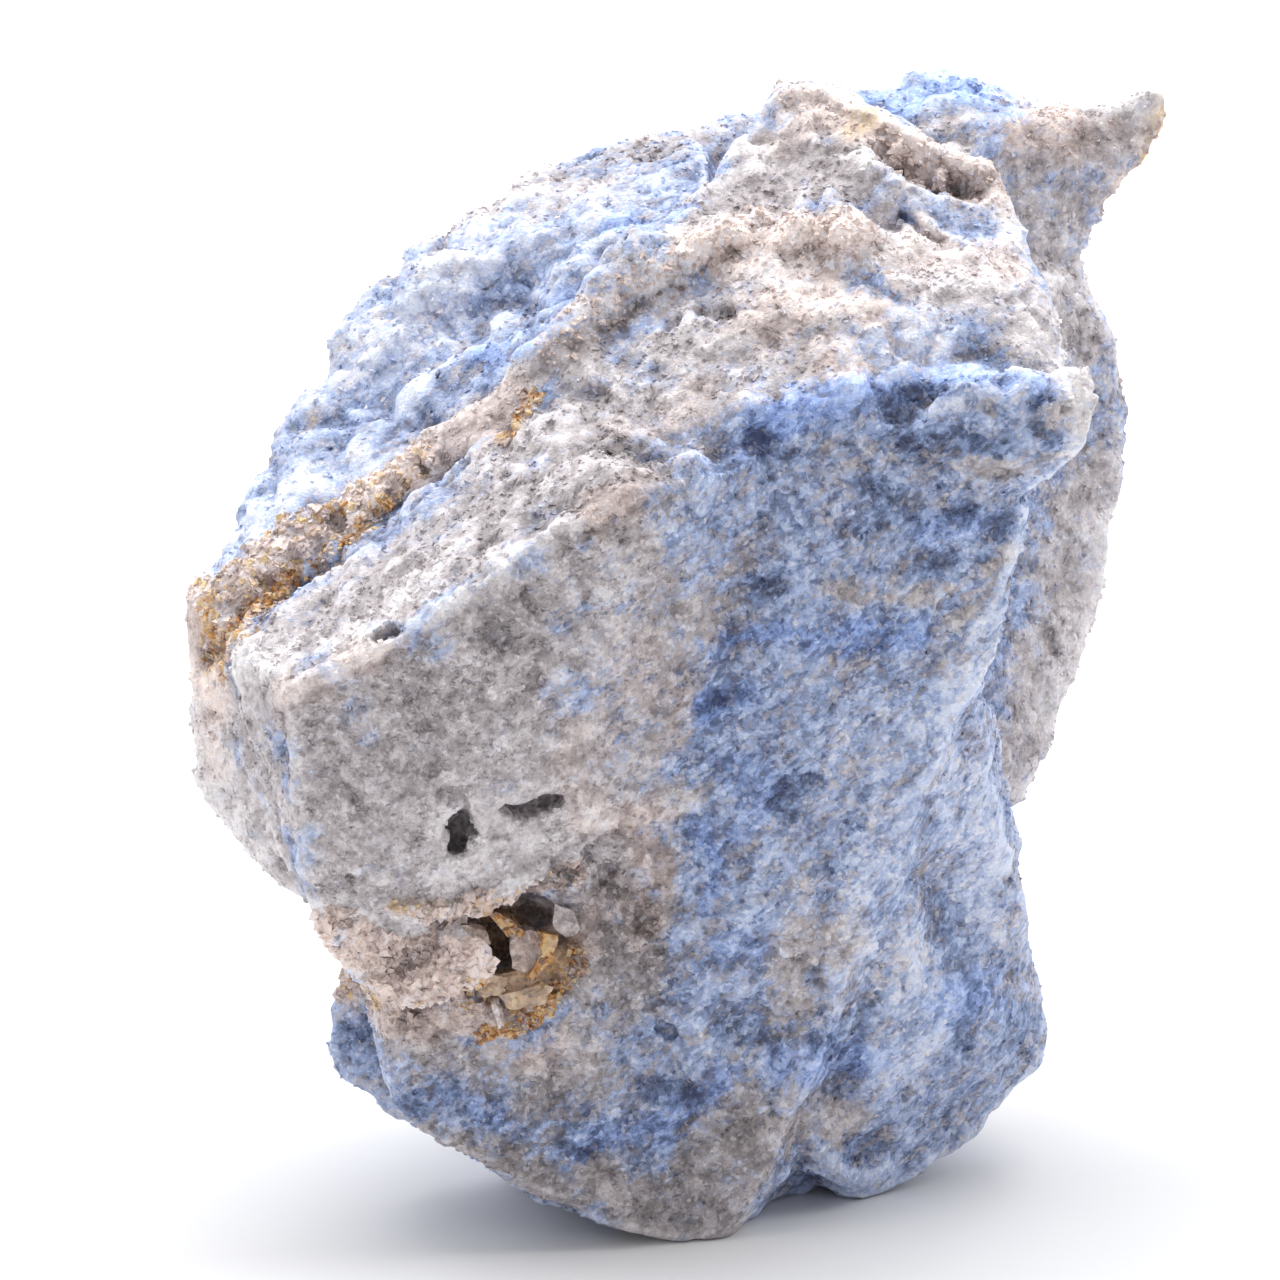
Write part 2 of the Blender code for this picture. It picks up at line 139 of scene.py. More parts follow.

# Where each finish lies, a finish being a mineral, a stain, painted shade or painted light: radius and
# strength of each soft stroke, and its path. Every path here is a row of pixels of the photograph, across and
# down in turn.
PAINT = {
    "quartz": (
        (1.1, 1, 395, 1012, 430, 1020, 470, 1020), (1.6, 0.75, 590, 640, 600, 700, 585, 760),
        (3, 1, 380, 680, 440, 700, 470, 760, 520, 850),
        (1.6, 1, 540, 890, 555, 905, 530, 915, 570, 925, 500, 915),
        (1.9, 0.8, 560, 880, 570, 950, 590, 1000, 570, 1050), (1.4, 0.45, 480, 1080, 520, 1100, 560, 1090),
        (1.4, 0.7, 700, 1150, 730, 1120, 760, 1150), (2.8, 1, 300, 700, 340, 760, 360, 840, 340, 900),
        (3, 1, 400, 720, 430, 800, 450, 880, 430, 920), (3, 1, 480, 650, 520, 720, 545, 780, 560, 850),
        (2.4, 0.95, 470, 640, 560, 570, 615, 515), (2.3, 0.85, 600, 800, 625, 860, 620, 930, 610, 985),
        (2, 0.9, 260, 645, 340, 620, 430, 570, 500, 515, 560, 475, 620, 475),
        (1.5, 0.65, 340, 600, 400, 560, 460, 510, 520, 470),
        (2.6, 0.72, 500, 460, 560, 420, 640, 400, 720, 360, 800, 350), (2, 0.6, 600, 310, 680, 275),
        (2.2, 0.95, 740, 250, 830, 225), (2.2, 0.95, 820, 115, 870, 140, 930, 160, 985, 178),
        (2.4, 0.9, 880, 240, 940, 270, 1000, 290, 1030, 320),
        (2, 0.95, 700, 230, 750, 190, 800, 140, 840, 170), (2, 0.8, 650, 340, 740, 320, 850, 310),
        (1.5, 1, 210, 590, 270, 560, 330, 520, 400, 470, 460, 430, 520, 390, 570, 355),
        (2.2, 1, 205, 720, 215, 780, 240, 840, 280, 870), (1.5, 1, 245, 700, 265, 760, 290, 820),
        (1.6, 1, 325, 915, 370, 955, 430, 965, 470, 975),
        (1.3, 1, 350, 985, 390, 1000, 430, 1000, 470, 990),
        (1.9, 1, 480, 925, 505, 940, 530, 950, 560, 945), (1.5, 1, 500, 985, 525, 1000, 500, 1020),
        (2, 0.9, 600, 1190, 660, 1210, 710, 1220), (1.6, 0.8, 700, 1160, 740, 1150),
        (1.4, 0.6, 760, 1130, 830, 1125), (2, 0.62, 610, 640, 645, 700, 640, 760, 625, 800),
        (1.8, 0.6, 600, 560, 640, 600, 700, 620), (1.8, 0.66, 650, 860, 655, 900, 640, 950),
        (1.5, 0.65, 640, 810, 670, 800), (1.4, 0.75, 430, 1050, 480, 1065, 540, 1055, 580, 1010),
        (1.6, 0.6, 570, 980, 600, 1030, 640, 1000), (0.5, 0.45, 860, 470, 950, 462, 1030, 470),
        (0.5, 0.6, 820, 592, 900, 597, 960, 588), (0.7, 0.7, 960, 620, 985, 590, 1000, 560),
        (2.4, 0.95, 1020, 150, 1080, 130, 1130, 115), (2.6, 0.9, 1065, 220, 1070, 300, 1095, 400),
        (2.6, 0.9, 1095, 480, 1090, 560, 1070, 640, 1040, 720, 1015, 780),
        (1.6, 0.6, 560, 180, 640, 150, 720, 140), (1.2, 0.5, 850, 950, 800, 940, 780, 1010),
        (1.3, 0.75, 450, 1136, 500, 1162, 560, 1192), (1.4, 1, 200, 592, 202, 640, 208, 690),
        (1.2, 0.95, 236, 596, 226, 650, 236, 710, 256, 770), (1, 0.78, 250, 655, 290, 612, 340, 572),
    ),
    "vivid": (
        (0.9, 0.8, 780, 400, 850, 385, 950, 375, 1050, 385), (1, 0.9, 760, 430, 800, 410, 850, 400),
        (0.9, 0.8, 730, 640, 780, 630, 850, 640, 920, 640), (0.9, 1, 715, 705, 745, 695),
        (1, 0.5, 730, 770, 760, 800, 730, 840), (1, 0.55, 580, 1140, 640, 1140, 700, 1110, 720, 1080),
        (0.9, 0.6, 930, 530, 980, 530), (0.8, 0.7, 700, 830, 720, 880, 700, 910),
        (0.8, 0.8, 560, 330, 520, 350, 480, 350), (0.9, 0.9, 620, 220, 680, 210, 720, 170),
        (0.8, 0.8, 600, 280, 560, 300), (1.6, 0.9, 880, 100, 950, 95, 1000, 100),
        (0.8, 0.5, 440, 1095, 500, 1120), (1.4, 0.6, 950, 1000, 990, 990),
        (1.2, 0.6, 800, 1060, 860, 1060), (1, 0.4, 700, 960, 750, 950),
    ),
    "navy": (
        (0.55, 1, 785, 792, 815, 782), (0.5, 0.95, 775, 806, 788, 816), (0.6, 0.9, 712, 705, 742, 696),
        (0.5, 0.8, 762, 590, 785, 588), (0.8, 0.85, 892, 420, 905, 440, 930, 450),
        (0.6, 0.6, 950, 440, 1000, 445), (0.8, 0.75, 868, 480, 890, 500, 868, 520),
        (0.7, 0.7, 960, 515, 1010, 525), (0.5, 0.9, 940, 560, 985, 558), (0.4, 0.75, 1005, 408, 1060, 398),
        # The stroke from 906, 392 to 945, 385 is painted shade in the notch of the blue band
        (0.6, 0.7, 1045, 430, 1058, 440), (0.45, 0.9, 906, 392, 945, 385), (0.55, 0.8, 758, 436, 772, 446),
        (0.5, 0.4, 700, 470, 790, 455), (0.6, 0.8, 818, 1045, 830, 1050),
        (0.8, 0.6, 975, 1000, 955, 1035, 965, 1050), (0.8, 0.5, 1000, 1045, 1020, 1030),
        (0.6, 0.95, 650, 1088, 695, 1092), (0.5, 0.8, 560, 1140, 595, 1160),
        (0.5, 0.8, 475, 1145, 505, 1160), (0.4, 0.8, 405, 1100, 425, 1110), (0.5, 0.5, 690, 660, 670, 690),
        (0.4, 0.6, 610, 690, 620, 740), (0.45, 0.7, 575, 520, 585, 545), (1, 0.3, 1065, 220, 1060, 250),
    ),
    # Painted shade: the foot and underside, the grey block's shaded edge and face, under crest and ridge,
    # pits and holes
    "shade": (
        (1.6, 0.68, 500, 530, 545, 500, 590, 490, 650, 490), (1.5, 0.66, 480, 570, 500, 620, 540, 600),
        (1.2, 0.25, 400, 640, 430, 700, 420, 770), (1.7, 0.68, 570, 890, 600, 960, 590, 1010),
        (1.5, 0.68, 640, 900, 655, 960, 640, 1010),
        (1.8, 0.66, 450, 1090, 520, 1120, 600, 1140, 660, 1180), (1.5, 0.68, 700, 1130, 740, 1150),
        (1.8, 0.68, 440, 1130, 500, 1165, 580, 1202, 640, 1222, 700, 1230),
        (0.34, 1, 451, 822, 457, 836, 456, 850), (0.32, 1, 506, 810, 530, 812, 556, 804),
        (0.9, 0.75, 610, 445, 640, 455), (0.8, 0.75, 722, 452, 745, 440), (0.6, 0.6, 565, 550, 580, 545),
        (0.7, 0.6, 950, 190, 985, 184), (0.5, 0.7, 476, 924, 490, 930), (0.6, 0.8, 640, 300, 618, 335),
        (0.5, 0.75, 700, 305, 725, 312), (0.55, 0.7, 755, 1037, 785, 1035),
        (0.85, 0.75, 757, 1160, 785, 1170), (0.55, 0.6, 935, 1135, 950, 1130),
        (1, 0.45, 940, 905, 968, 900), (0.8, 0.45, 740, 1110, 800, 1105), (0.9, 0.75, 480, 310, 505, 290),
        (0.9, 0.65, 365, 420, 385, 400), (0.4, 1, 445, 477, 465, 462), (0.45, 0.6, 375, 520, 405, 500),
        (0.7, 0.5, 215, 590, 240, 600), (0.9, 0.35, 430, 600, 470, 635), (0.5, 0.4, 560, 340, 620, 360),
        (1.2, 0.5, 660, 150, 580, 170), (1.4, 0.55, 1105, 130, 1130, 160),
        (1.6, 0.35, 1080, 300, 1090, 420), (1.2, 0.35, 1060, 560, 1050, 640),
        (1.6, 0.45, 345, 1000, 365, 1060, 390, 1090), (0.36, 1, 376, 635, 392, 629),
        (0.42, 1, 659, 1024, 669, 1031),
    ),
    "warm": (
        (1.1, 0.9, 395, 1012, 430, 1020, 470, 1020), (1.8, 0.8, 790, 110, 850, 120, 920, 145, 990, 175),
        (1.5, 0.75, 720, 250, 800, 225, 850, 235), (1.8, 0.7, 780, 310, 850, 290, 890, 330, 840, 350),
        (1.6, 0.5, 930, 250, 990, 240, 1020, 270), (0.9, 0.6, 285, 695, 340, 672, 420, 630),
        (1.3, 0.8, 600, 505, 635, 498), (1.1, 0.9, 510, 1048, 550, 1035),
        (1.3, 0.9, 345, 955, 430, 985, 470, 975), (1, 0.9, 350, 985, 390, 1000, 430, 1000, 470, 990),
        (1.9, 1, 480, 925, 505, 940, 530, 950, 560, 945), (1.5, 1, 500, 985, 525, 1000, 500, 1020),
        (1.1, 0.45, 560, 730, 570, 790, 600, 820), (1.4, 0.75, 640, 830, 660, 880, 650, 910),
        (1.3, 0.7, 210, 590, 330, 520, 430, 455, 520, 400), (1, 0.5, 205, 720, 215, 760),
        (1, 0.3, 620, 740, 600, 690), (1.6, 0.9, 1010, 140, 1060, 120), (1.2, 0.35, 640, 650, 680, 740),
        (1.4, 0.4, 700, 400, 640, 430), (1.2, 0.4, 640, 920, 600, 890),
        (1.2, 0.9, 200, 592, 204, 640, 215, 700),
    ),
    "rust": (
        (1, 0.3, 500, 925, 530, 945, 560, 960), (0.9, 0.45, 495, 1000, 530, 1010),
        (0.5, 1, 224, 668, 228, 648, 242, 624, 262, 602, 285, 577, 298, 567),
        (0.55, 0.95, 206, 612, 212, 640, 216, 660), (0.3, 0.85, 314, 566, 342, 545, 362, 526),
        (0.3, 0.75, 505, 437, 520, 416, 533, 398),
        (0.36, 1, 484, 1036, 505, 1030, 532, 1022, 548, 1005, 556, 985),
        (0.9, 0.45, 478, 926, 492, 934, 500, 950),
    ),
    "ochre": (
        (0.38, 1, 286, 584, 298, 568, 312, 558), (0.34, 0.65, 395, 906, 440, 906, 488, 902),
        (0.5, 0.7, 500, 978, 530, 972, 560, 962), (0.45, 0.85, 488, 992, 520, 1002, 540, 990),
        (0.5, 0.75, 304, 430, 318, 412), (0.6, 0.5, 850, 132, 872, 120),
    ),
    # Pale stone, and painted light: the lit crest, tops and left flank, and bright rims along the edges
    "pale": (
        (1.5, 1.2, 790, 270, 830, 290, 860, 260), (1.3, 0.9, 840, 345, 900, 352, 940, 345),
        (1.8, 0.35, 1070, 260, 1085, 400, 1080, 560, 1050, 700),
        (1.8, 0.85, 965, 650, 955, 720, 960, 800, 970, 880), (1.2, 0.4, 880, 820, 900, 900),
        (1.4, 0.5, 200, 580, 240, 540, 270, 480), (2, 0.9, 212, 700, 225, 780, 255, 850),
        (2, 0.75, 760, 250, 820, 245, 880, 250, 940, 245, 1000, 260),
        (1.4, 0.5, 800, 290, 860, 300, 920, 310), (1.8, 1.1, 650, 290, 690, 265, 750, 235),
        (1.1, 0.6, 790, 110, 850, 100, 900, 130, 980, 165), (1.4, 0.6, 900, 85, 960, 95, 1040, 100),
        (1.4, 0.4, 720, 180, 760, 150),
        (0.5, 0.55, 242, 655, 290, 690, 340, 668, 400, 640, 450, 605, 500, 565),
        (2.6, 1.1, 350, 370, 420, 330, 440, 270), (2.2, 0.6, 520, 270, 600, 230),
        (2, 1.3, 260, 520, 300, 480, 360, 480), (1, 0.9, 250, 660, 330, 648, 400, 612, 470, 588, 505, 560),
        (1, 0.5, 440, 560, 520, 510, 600, 470), (2.2, 0.6, 480, 230, 560, 200, 640, 190),
        (1.6, 0.8, 400, 400, 440, 360, 500, 320), (0.36, 1, 1048, 478, 1022, 515, 1004, 580, 966, 648),
        (0.5, 0.4, 760, 892, 820, 880), (0.7, 0.55, 840, 930, 850, 880, 860, 840),
        (0.8, 0.45, 900, 690, 850, 740, 820, 800), (0.8, 0.55, 960, 640, 930, 700, 880, 760),
        (1.5, 1, 975, 860, 985, 920), (1.6, 0.8, 880, 960, 930, 1010, 900, 1060),
        (0.55, 0.75, 850, 378, 950, 368, 1050, 372), (0.7, 0.8, 1075, 385, 1085, 420, 1070, 460),
        (0.3, 0.9, 925, 408, 960, 405), (0.6, 0.55, 500, 850, 560, 835, 600, 815),
        (0.8, 0.5, 440, 880, 500, 870), (0.9, 0.7, 310, 905, 400, 930, 440, 925),
        (0.7, 0.7, 420, 955, 480, 965, 485, 975), (0.5, 0.8, 350, 975, 390, 985),
        (0.5, 0.5, 550, 750, 580, 730), (0.5, 0.5, 690, 800, 650, 815), (0.8, 0.3, 330, 800, 300, 840),
        (0.8, 0.7, 980, 200, 1010, 230, 1030, 280), (1, 0.5, 1030, 100, 1090, 105),
        (0.9, 0.5, 620, 410, 700, 425, 690, 450), (0.8, 0.8, 340, 500, 300, 540, 230, 560),
    ),
}

# What each point of the skin carries: the amounts of the finishes, and how deep the point lies
FINISHES = (*PAINT, "hollow")

# Relief too fine for the solid: name, half its width, its height (a groove is below zero), and its path
RELIEF = (
    ("rough floor of the seam", 0.5, 0.25, 230, 668, 240, 634, 262, 606, 285, 584, 302, 572, 330, 556),
    ("edge of the front face", 0.35, 0.18, 1048, 478, 1022, 515, 1004, 580, 966, 648),
    ("rib across the hollow of the crest", 0.4, 0.6, 898, 150, 893, 170),
    ("second rib across the hollow", 0.4, 0.6, 942, 172, 938, 192),
    ("dent in the vein", 0.5, -0.5, 262, 578, 268, 586),
    ("knob on the vein", 0.5, 0.4, 300, 545, 306, 552),
    ("second dent in the vein", 0.5, -0.5, 336, 516, 342, 522),
    ("second knob on the vein", 0.5, 0.35, 374, 492, 380, 498),
    ("third dent in the vein", 0.5, -0.4, 420, 464, 426, 470),
    ("dark gap beside the vein", 0.22, -0.3, 396, 508, 405, 500, 412, 495),
    ("crevice at the vein's upper end", 0.42, -0.9, 438, 479, 452, 472, 464, 463),
    ("hole in the top of the grey block", 0.3, -0.8, 376, 635, 384, 632, 392, 629),
    ("slit in the grey face", 0.32, -1, 505, 811, 522, 812, 540, 808, 557, 803),
    ("glassy pit in the grey face", 0.44, -1, 450, 818, 458, 832, 457, 850),
    ("hollow over the pit", 0.5, -0.3, 446, 790, 458, 800),
    ("edge of the grey block", 0.45, 0.22,
     243, 653, 290, 688, 340, 668, 400, 640, 450, 605, 500, 568, 560, 525),
    ("nub at the end of the block's edge", 0.9, 0.3, 600, 505, 632, 498),
    ("small hollow beside the slit", 0.3, -0.5, 586, 850, 592, 862),
    ("second small hollow beside the slit", 0.28, -0.4, 606, 866, 614, 872),
    ("dark pit in the lower face", 0.36, -0.6, 660, 1025, 668, 1030),
    ("small hole under the tongue plate", 0.22, -0.6, 460, 991, 468, 993),
    ("notch in the blue band", 0.35, -0.45, 905, 388, 922, 396, 945, 388),
    ("crack under the crest", 0.2, -0.4, 900, 215, 925, 228, 940, 236),
    ("lip over the vug", 0.5, 0.35, 400, 915, 440, 912, 480, 900, 505, 890, 540, 868),
    ("clear quartz bump", 0.9, 0.7, 836, 212, 850, 232),
    ("rim of the crest", 0.5, 0.3, 770, 108, 820, 90, 868, 112, 920, 142, 985, 170),
    ("brown quartz heap on the ridge", 0.9, 0.5, 705, 250, 722, 236),
    ("second heap on the ridge", 0.8, 0.35, 640, 290, 655, 278),
    ("dark hollow under the ridge", 0.45, -0.5, 700, 306, 724, 312),
    ("second dark hollow under the ridge", 0.4, -0.25, 640, 304, 622, 330),
    ("third dark hollow under the ridge", 0.3, -0.4, 668, 322, 676, 314),
)

# Stained crumbs: how many, how far from the path, half their width, how rusty, and the path
CRUMBS = (
    (260, 0.35, 0.12, 0.85, 228, 664, 240, 634, 262, 606, 285, 584, 302, 572, 318, 562),
    (90, 0.3, 0.12, 0.6, 330, 556, 345, 545, 362, 526),
    (420, 1.1, 0.12, 0.18, 216, 650, 240, 634, 262, 606, 285, 584, 302, 572, 330, 556, 362, 526),
    (420, 1.2, 0.13, 0.08, 210, 590, 250, 565, 290, 530, 330, 500, 370, 480, 410, 462),
    (100, 0.5, 0.14, 0.75, 206, 606, 212, 630, 218, 655),
    (60, 0.5, 0.13, 0.6, 322, 512, 338, 508),
    (70, 0.5, 0.13, 0.6, 384, 505, 400, 484),
    (60, 0.5, 0.14, 0.55, 505, 437, 520, 416, 533, 398),
    (110, 0.45, 0.12, 0.12, 395, 906, 440, 908, 488, 902, 520, 885, 545, 870),
    (170, 0.4, 0.12, 0.8, 484, 1034, 505, 1030, 532, 1022, 548, 1005, 560, 985),
    (90, 0.6, 0.15, 0.35, 475, 985, 500, 1000, 530, 1000, 550, 990),
    (50, 0.4, 0.13, 0.4, 575, 950, 580, 966, 566, 980),
    (460, 1.3, 0.2, -0.3, 335, 935, 380, 960, 430, 965, 480, 965),
    (220, 0.9, 0.2, 0.02, 350, 980, 380, 995, 404, 1005, 440, 1000, 475, 990),
    (150, 0.8, 0.18, -0.2, 440, 915, 480, 905, 530, 880, 570, 870),
    (120, 1, 0.15, -0.2, 885, 150, 920, 180, 955, 190, 985, 190),
    (150, 1.4, 0.12, -0.25, 800, 235, 845, 225, 870, 250),
    (260, 1.2, 0.11, -0.3, 560, 340, 640, 285, 700, 255, 760, 220),
)

# Flakes in the vug: their looks; then name, look, reach back into the wall, and the corners in front,
# each as pixel across, pixel down and millimetres behind the plane of sharp focus
PLATE_LOOKS = {
    "mauve": {"quartz": 1, "warm": 0.8, "pale": 0.1, "rust": 0.12},
    "cream": {"quartz": 1, "warm": 1, "ochre": 0.5, "rust": 0.22},
    "orange": {"quartz": 1, "warm": 1, "rust": 0.9},
    "needle": {"quartz": 1, "warm": 0.5, "pale": 0.7},
    "grey": {"quartz": 1, "warm": 0.3},
}
PLATES = (
    ("glassy mauve-grey plate", "mauve", 3,
     448, 930, -1.2, 466, 925, -1, 486, 930, -0.6, 490, 944, -0.6, 470, 953, -1, 450, 950, -1.3),
    ("mauve plate in the middle", "mauve", 3,
     508, 930, 0.6, 530, 930, 0.9, 545, 938, 1, 546, 958, 0.8, 528, 974, 0.6, 512, 968, 0.5),
    ("its orange edge", "orange", 2.6,
     538, 932, 0.4, 558, 935, 0.7, 552, 960, 0.5, 532, 980, 0.2, 526, 976, 0.2, 543, 955, 0.4),
    ("orange blade", "orange", 3.5,
     488, 914, -0.2, 496, 912, 0, 512, 922, 0.4, 529, 936, 0.9, 528, 944, 1, 508, 936, 0.6),
    ("cream plate", "cream", 2.4,
     472, 980, 0.3, 490, 974, 0.4, 508, 978, 0.7, 504, 994, 0.4, 484, 998, 0.2),
    ("second cream plate", "cream", 2.4,
     502, 974, 0.9, 530, 968, 1.2, 538, 980, 1, 520, 994, 0.8, 506, 990, 0.8),
    ("cream band", "cream", 2.4,
     500, 996, 0.1, 540, 984, 0.7, 552, 988, 0.8, 545, 1004, 0.4, 510, 1010, 0.1),
    ("needle", "needle", 1.6,
     491, 1004, -0.1, 496, 1004, 0, 503, 1026, 0.2, 499, 1027, 0.1),
    ("grey glassy lump at the right", "grey", 2.2,
     556, 905, 0.3, 574, 912, 0.5, 580, 930, 0.7, 566, 938, 0.8, 552, 925, 0.6),
    ("toothed cream plate under the lip", "cream", 2.2,
     468, 902, -1.5, 482, 899, -1.3, 496, 902, -1, 492, 914, -0.9, 478, 918, -1.2, 466, 912, -1.4),
)


# Picture

class Picture:
    """The photograph's camera: it tells where a pixel of the picture lies on the solid stone."""

    def __init__(self, studio):
        tilt = studio.view_tilt
        self.target = Vector(studio.view_target)
        self.distance = studio.view_distance
        self.step = studio.view_width / PICTURE_WIDTH
        self.ahead = Vector((0.0, math.cos(tilt), -math.sin(tilt)))
        self.up = Vector((0.0, math.sin(tilt), math.cos(tilt)))
        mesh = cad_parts[NODE].data
        corners = [vertex.co / MM for vertex in mesh.vertices]
        self.stone = BVHTree.FromPolygons(corners, [tuple(face.vertices) for face in mesh.polygons])

    def at_depth(self, across, down, depth):
        """The place of a pixel at a depth behind the plane of sharp focus."""
        step = self.step * (1.0 + depth / self.distance)
        right = Vector(((across - PICTURE_WIDTH / 2) * step, 0.0, 0.0))
        return self.target + right + (PICTURE_WIDTH / 2 - down) * step * self.up + depth * self.ahead

    def on_stone(self, across, down):
        """The place where a pixel's ray meets the stone."""
        eye = self.target - self.distance * self.ahead
        place = self.stone.ray_cast(eye, (self.at_depth(across, down, 0.0) - eye).normalized())[0]
        if place is None:
            raise RuntimeError(f"No stone at pixel {across}, {down}")
        return tuple(place)

    def path(self, pixels):
        """Where a row of pixels, across and down in turn, lies on the stone."""
        return np.array([self.on_stone(*pixel) for pixel in zip(pixels[::2], pixels[1::2])])


# Random fields

def lattice_random(cells, salt):
    """A steady random number between 0 and 1 for each whole-numbered cell."""
    x, y, z = cells.T
    mixed = (x * STEP_X + y * STEP_Y + z * STEP_Z + salt * STEP_SALT) & LOW_BITS
    mixed = ((mixed ^ (mixed >> 13)) * FIRST_MIXER) & LOW_BITS
    mixed = ((mixed ^ (mixed >> 15)) * SECOND_MIXER) & LOW_BITS
    return (mixed ^ (mixed >> 16)) / (LOW_BITS + 1.0)


def soft_noise(points, size, salt, octaves=1):
    """Smooth noise between about -1 and 1, whose lumps are as wide as the size given."""
    total = np.zeros(len(points))
    weight = 1.0
    for octave in range(octaves):
        scaled = points / (size / 2 ** octave)
        base = np.floor(scaled).astype(np.int64)
        part = scaled - base
        smooth = part * part * (3.0 - 2.0 * part)
        for corner in itertools.product((0, 1), repeat=3):
            share = np.prod(np.where(corner, smooth, 1.0 - smooth), axis=1)
            total += weight * share * (2.0 * lattice_random(base + corner, salt + OCTAVE_SALT * octave) - 1.0)
        weight *= 0.5
    return total


def nearest_grain(points, size, salt):
    """For each point: the way from its nearest grain centre, that distance, and the grain's number."""
    scaled = points / size
    base = np.floor(scaled).astype(np.int64)
    way = np.zeros_like(scaled)
    first = np.full(len(points), np.inf)
    number = np.zeros(len(points))
    for step in itertools.product((-1, 0, 1), repeat=3):
        cell = base + step
        centre = cell + np.stack([lattice_random(cell, salt + k) for k in range(3)], axis=1)
        offset = scaled - centre
        gap = np.sqrt((offset ** 2).sum(axis=1))
        closer = gap < first
        way[closer] = offset[closer]
        number[closer] = lattice_random(cell[closer], salt + 3)
        first = np.where(closer, gap, first)
    return way, first, number


def chips(points, size, salt):
    """Flat facets: each grain of stone is a small plane that leans its own way and stands its own height."""
    way, _gap, number = nearest_grain(points, size, salt)
    turn = number * 2.0 * math.pi
    lean = np.stack((np.cos(turn), np.sin(turn * 3.0), np.sin(turn + 1.7)), axis=1)
    return (way * lean).sum(axis=1) + 0.9 * (number - 0.5)


def ease(values, low, high):
    """0 below low, 1 above high, and a smooth rise between them."""
    part = np.clip((values - low) / (high - low), 0.0, 1.0)
    return part * part * (3.0 - 2.0 * part)


# Strokes

def path_distance(points, path):
    """How far each point is from a bent line."""
    best = np.full(len(points), np.inf)
    for start, end in zip(path[:-1], path[1:]):
        run = end - start
        along = np.clip(((points - start) @ run) / max(run @ run, 1e-9), 0.0, 1.0)
        gap = np.sqrt(((points - start - along[:, None] * run) ** 2).sum(axis=1))
        best = np.minimum(best, gap)
    return best


def stroke_weight(points, radius, path, wobble):
    """1 on a stroke, 0 off it, with a soft and uneven edge."""
    reach = 2.2 * radius
    inside = np.all((points > path.min(axis=0) - reach) & (points < path.max(axis=0) + reach), axis=1)
    weight = np.zeros(len(points))
    gap = path_distance(points[inside], path) + wobble[inside] * min(0.75 * radius, 1.3)
    weight[inside] = ease(1.45 - gap / radius, 0.0, 1.1)
    return weight


def lay_paint(picture):
    """The strokes of each finish, cast onto the stone."""
    return {finish: [(radius, strength, picture.path(pixels)) for radius, strength, *pixels in strokes]
            for finish, strokes in PAINT.items()}


def painted(points, strokes, wobble):
    """How much of one finish each point has."""
    amount = np.zeros(len(points))
    for radius, strength, path in strokes:
        amount = np.maximum(amount, strength * stroke_weight(points, radius, path, wobble))
    return amount


# Mesh

def read_points(mesh):
    points = np.empty(len(mesh.vertices) * 3)
    mesh.vertices.foreach_get("co", points)
    return points.reshape(-1, 3)


def read_normals(mesh):
    normals = np.empty(len(mesh.vertices) * 3)
    mesh.vertex_normals.foreach_get("vector", normals)
    return normals.reshape(-1, 3)


def write_points(mesh, points):
    mesh.vertices.foreach_set("co", points.ravel())
    mesh.update()


def neighbour_mean(mesh, values):
    """The mean of each point's neighbours along the mesh's edges."""
    ends = np.empty(len(mesh.edges) * 2, dtype=np.int64)
    mesh.edges.foreach_get("vertices", ends)
    ends = ends.reshape(-1, 2)
    count = len(mesh.vertices)
    links = np.maximum(np.bincount(ends.ravel(), minlength=count), 1)
    mean = np.empty_like(values)
    for column in range(values.shape[1]):
        total = np.bincount(ends[:, 0], weights=values[ends[:, 1], column], minlength=count)
        total += np.bincount(ends[:, 1], weights=values[ends[:, 0], column], minlength=count)
        mean[:, column] = total / links
    return mean


def new_piece(name, mesh):
    piece = bpy.data.objects.new(name, mesh)
    bpy.context.scene.collection.objects.link(piece)
    return piece


def finish_mesh(piece):
    """Puts what the modifiers make into the piece's own mesh."""
    bpy.context.view_layer.update()
    graph = bpy.context.evaluated_depsgraph_get()
    worked = bpy.data.meshes.new_from_object(piece.evaluated_get(graph))
    old = piece.data
    piece.modifiers.clear()
    piece.data = worked
    worked.name = piece.name
    bpy.data.meshes.remove(old)


def add_modifier(piece, kind, **settings):
    modifier = piece.modifiers.new(kind.title(), kind)
    for name, value in settings.items():
        setattr(modifier, name, value)
    return modifier


def eased_copy(sizes):
    """The solid's mesh in millimetres, its facets partly rounded off, in fine even steps."""
    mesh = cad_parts[NODE].data.copy()
    mesh.transform(Matrix.Scale(1.0 / MM, 4))
    worked = bmesh.new()
    worked.from_mesh(mesh)
    bmesh.ops.remove_doubles(worked, verts=worked.verts, dist=0.001)
    worked.to_mesh(mesh)
    worked.free()
    piece = new_piece("stone_skin", mesh)
    sharp = new_piece("sharp_copy", mesh.copy())
    add_modifier(piece, "SUBSURF", levels=2)
    add_modifier(sharp, "SUBSURF", levels=2, subdivision_type="SIMPLE")
    finish_mesh(piece)
    finish_mesh(sharp)
    rounding = sizes.rounding
    write_points(piece.data, rounding * read_points(piece.data) + (1.0 - rounding) * read_points(sharp.data))
    bpy.data.meshes.remove(sharp.data)
    add_modifier(piece, "REMESH", mode="VOXEL", voxel_size=sizes.skin_step, use_smooth_shade=True)
    finish_mesh(piece)
    return piece


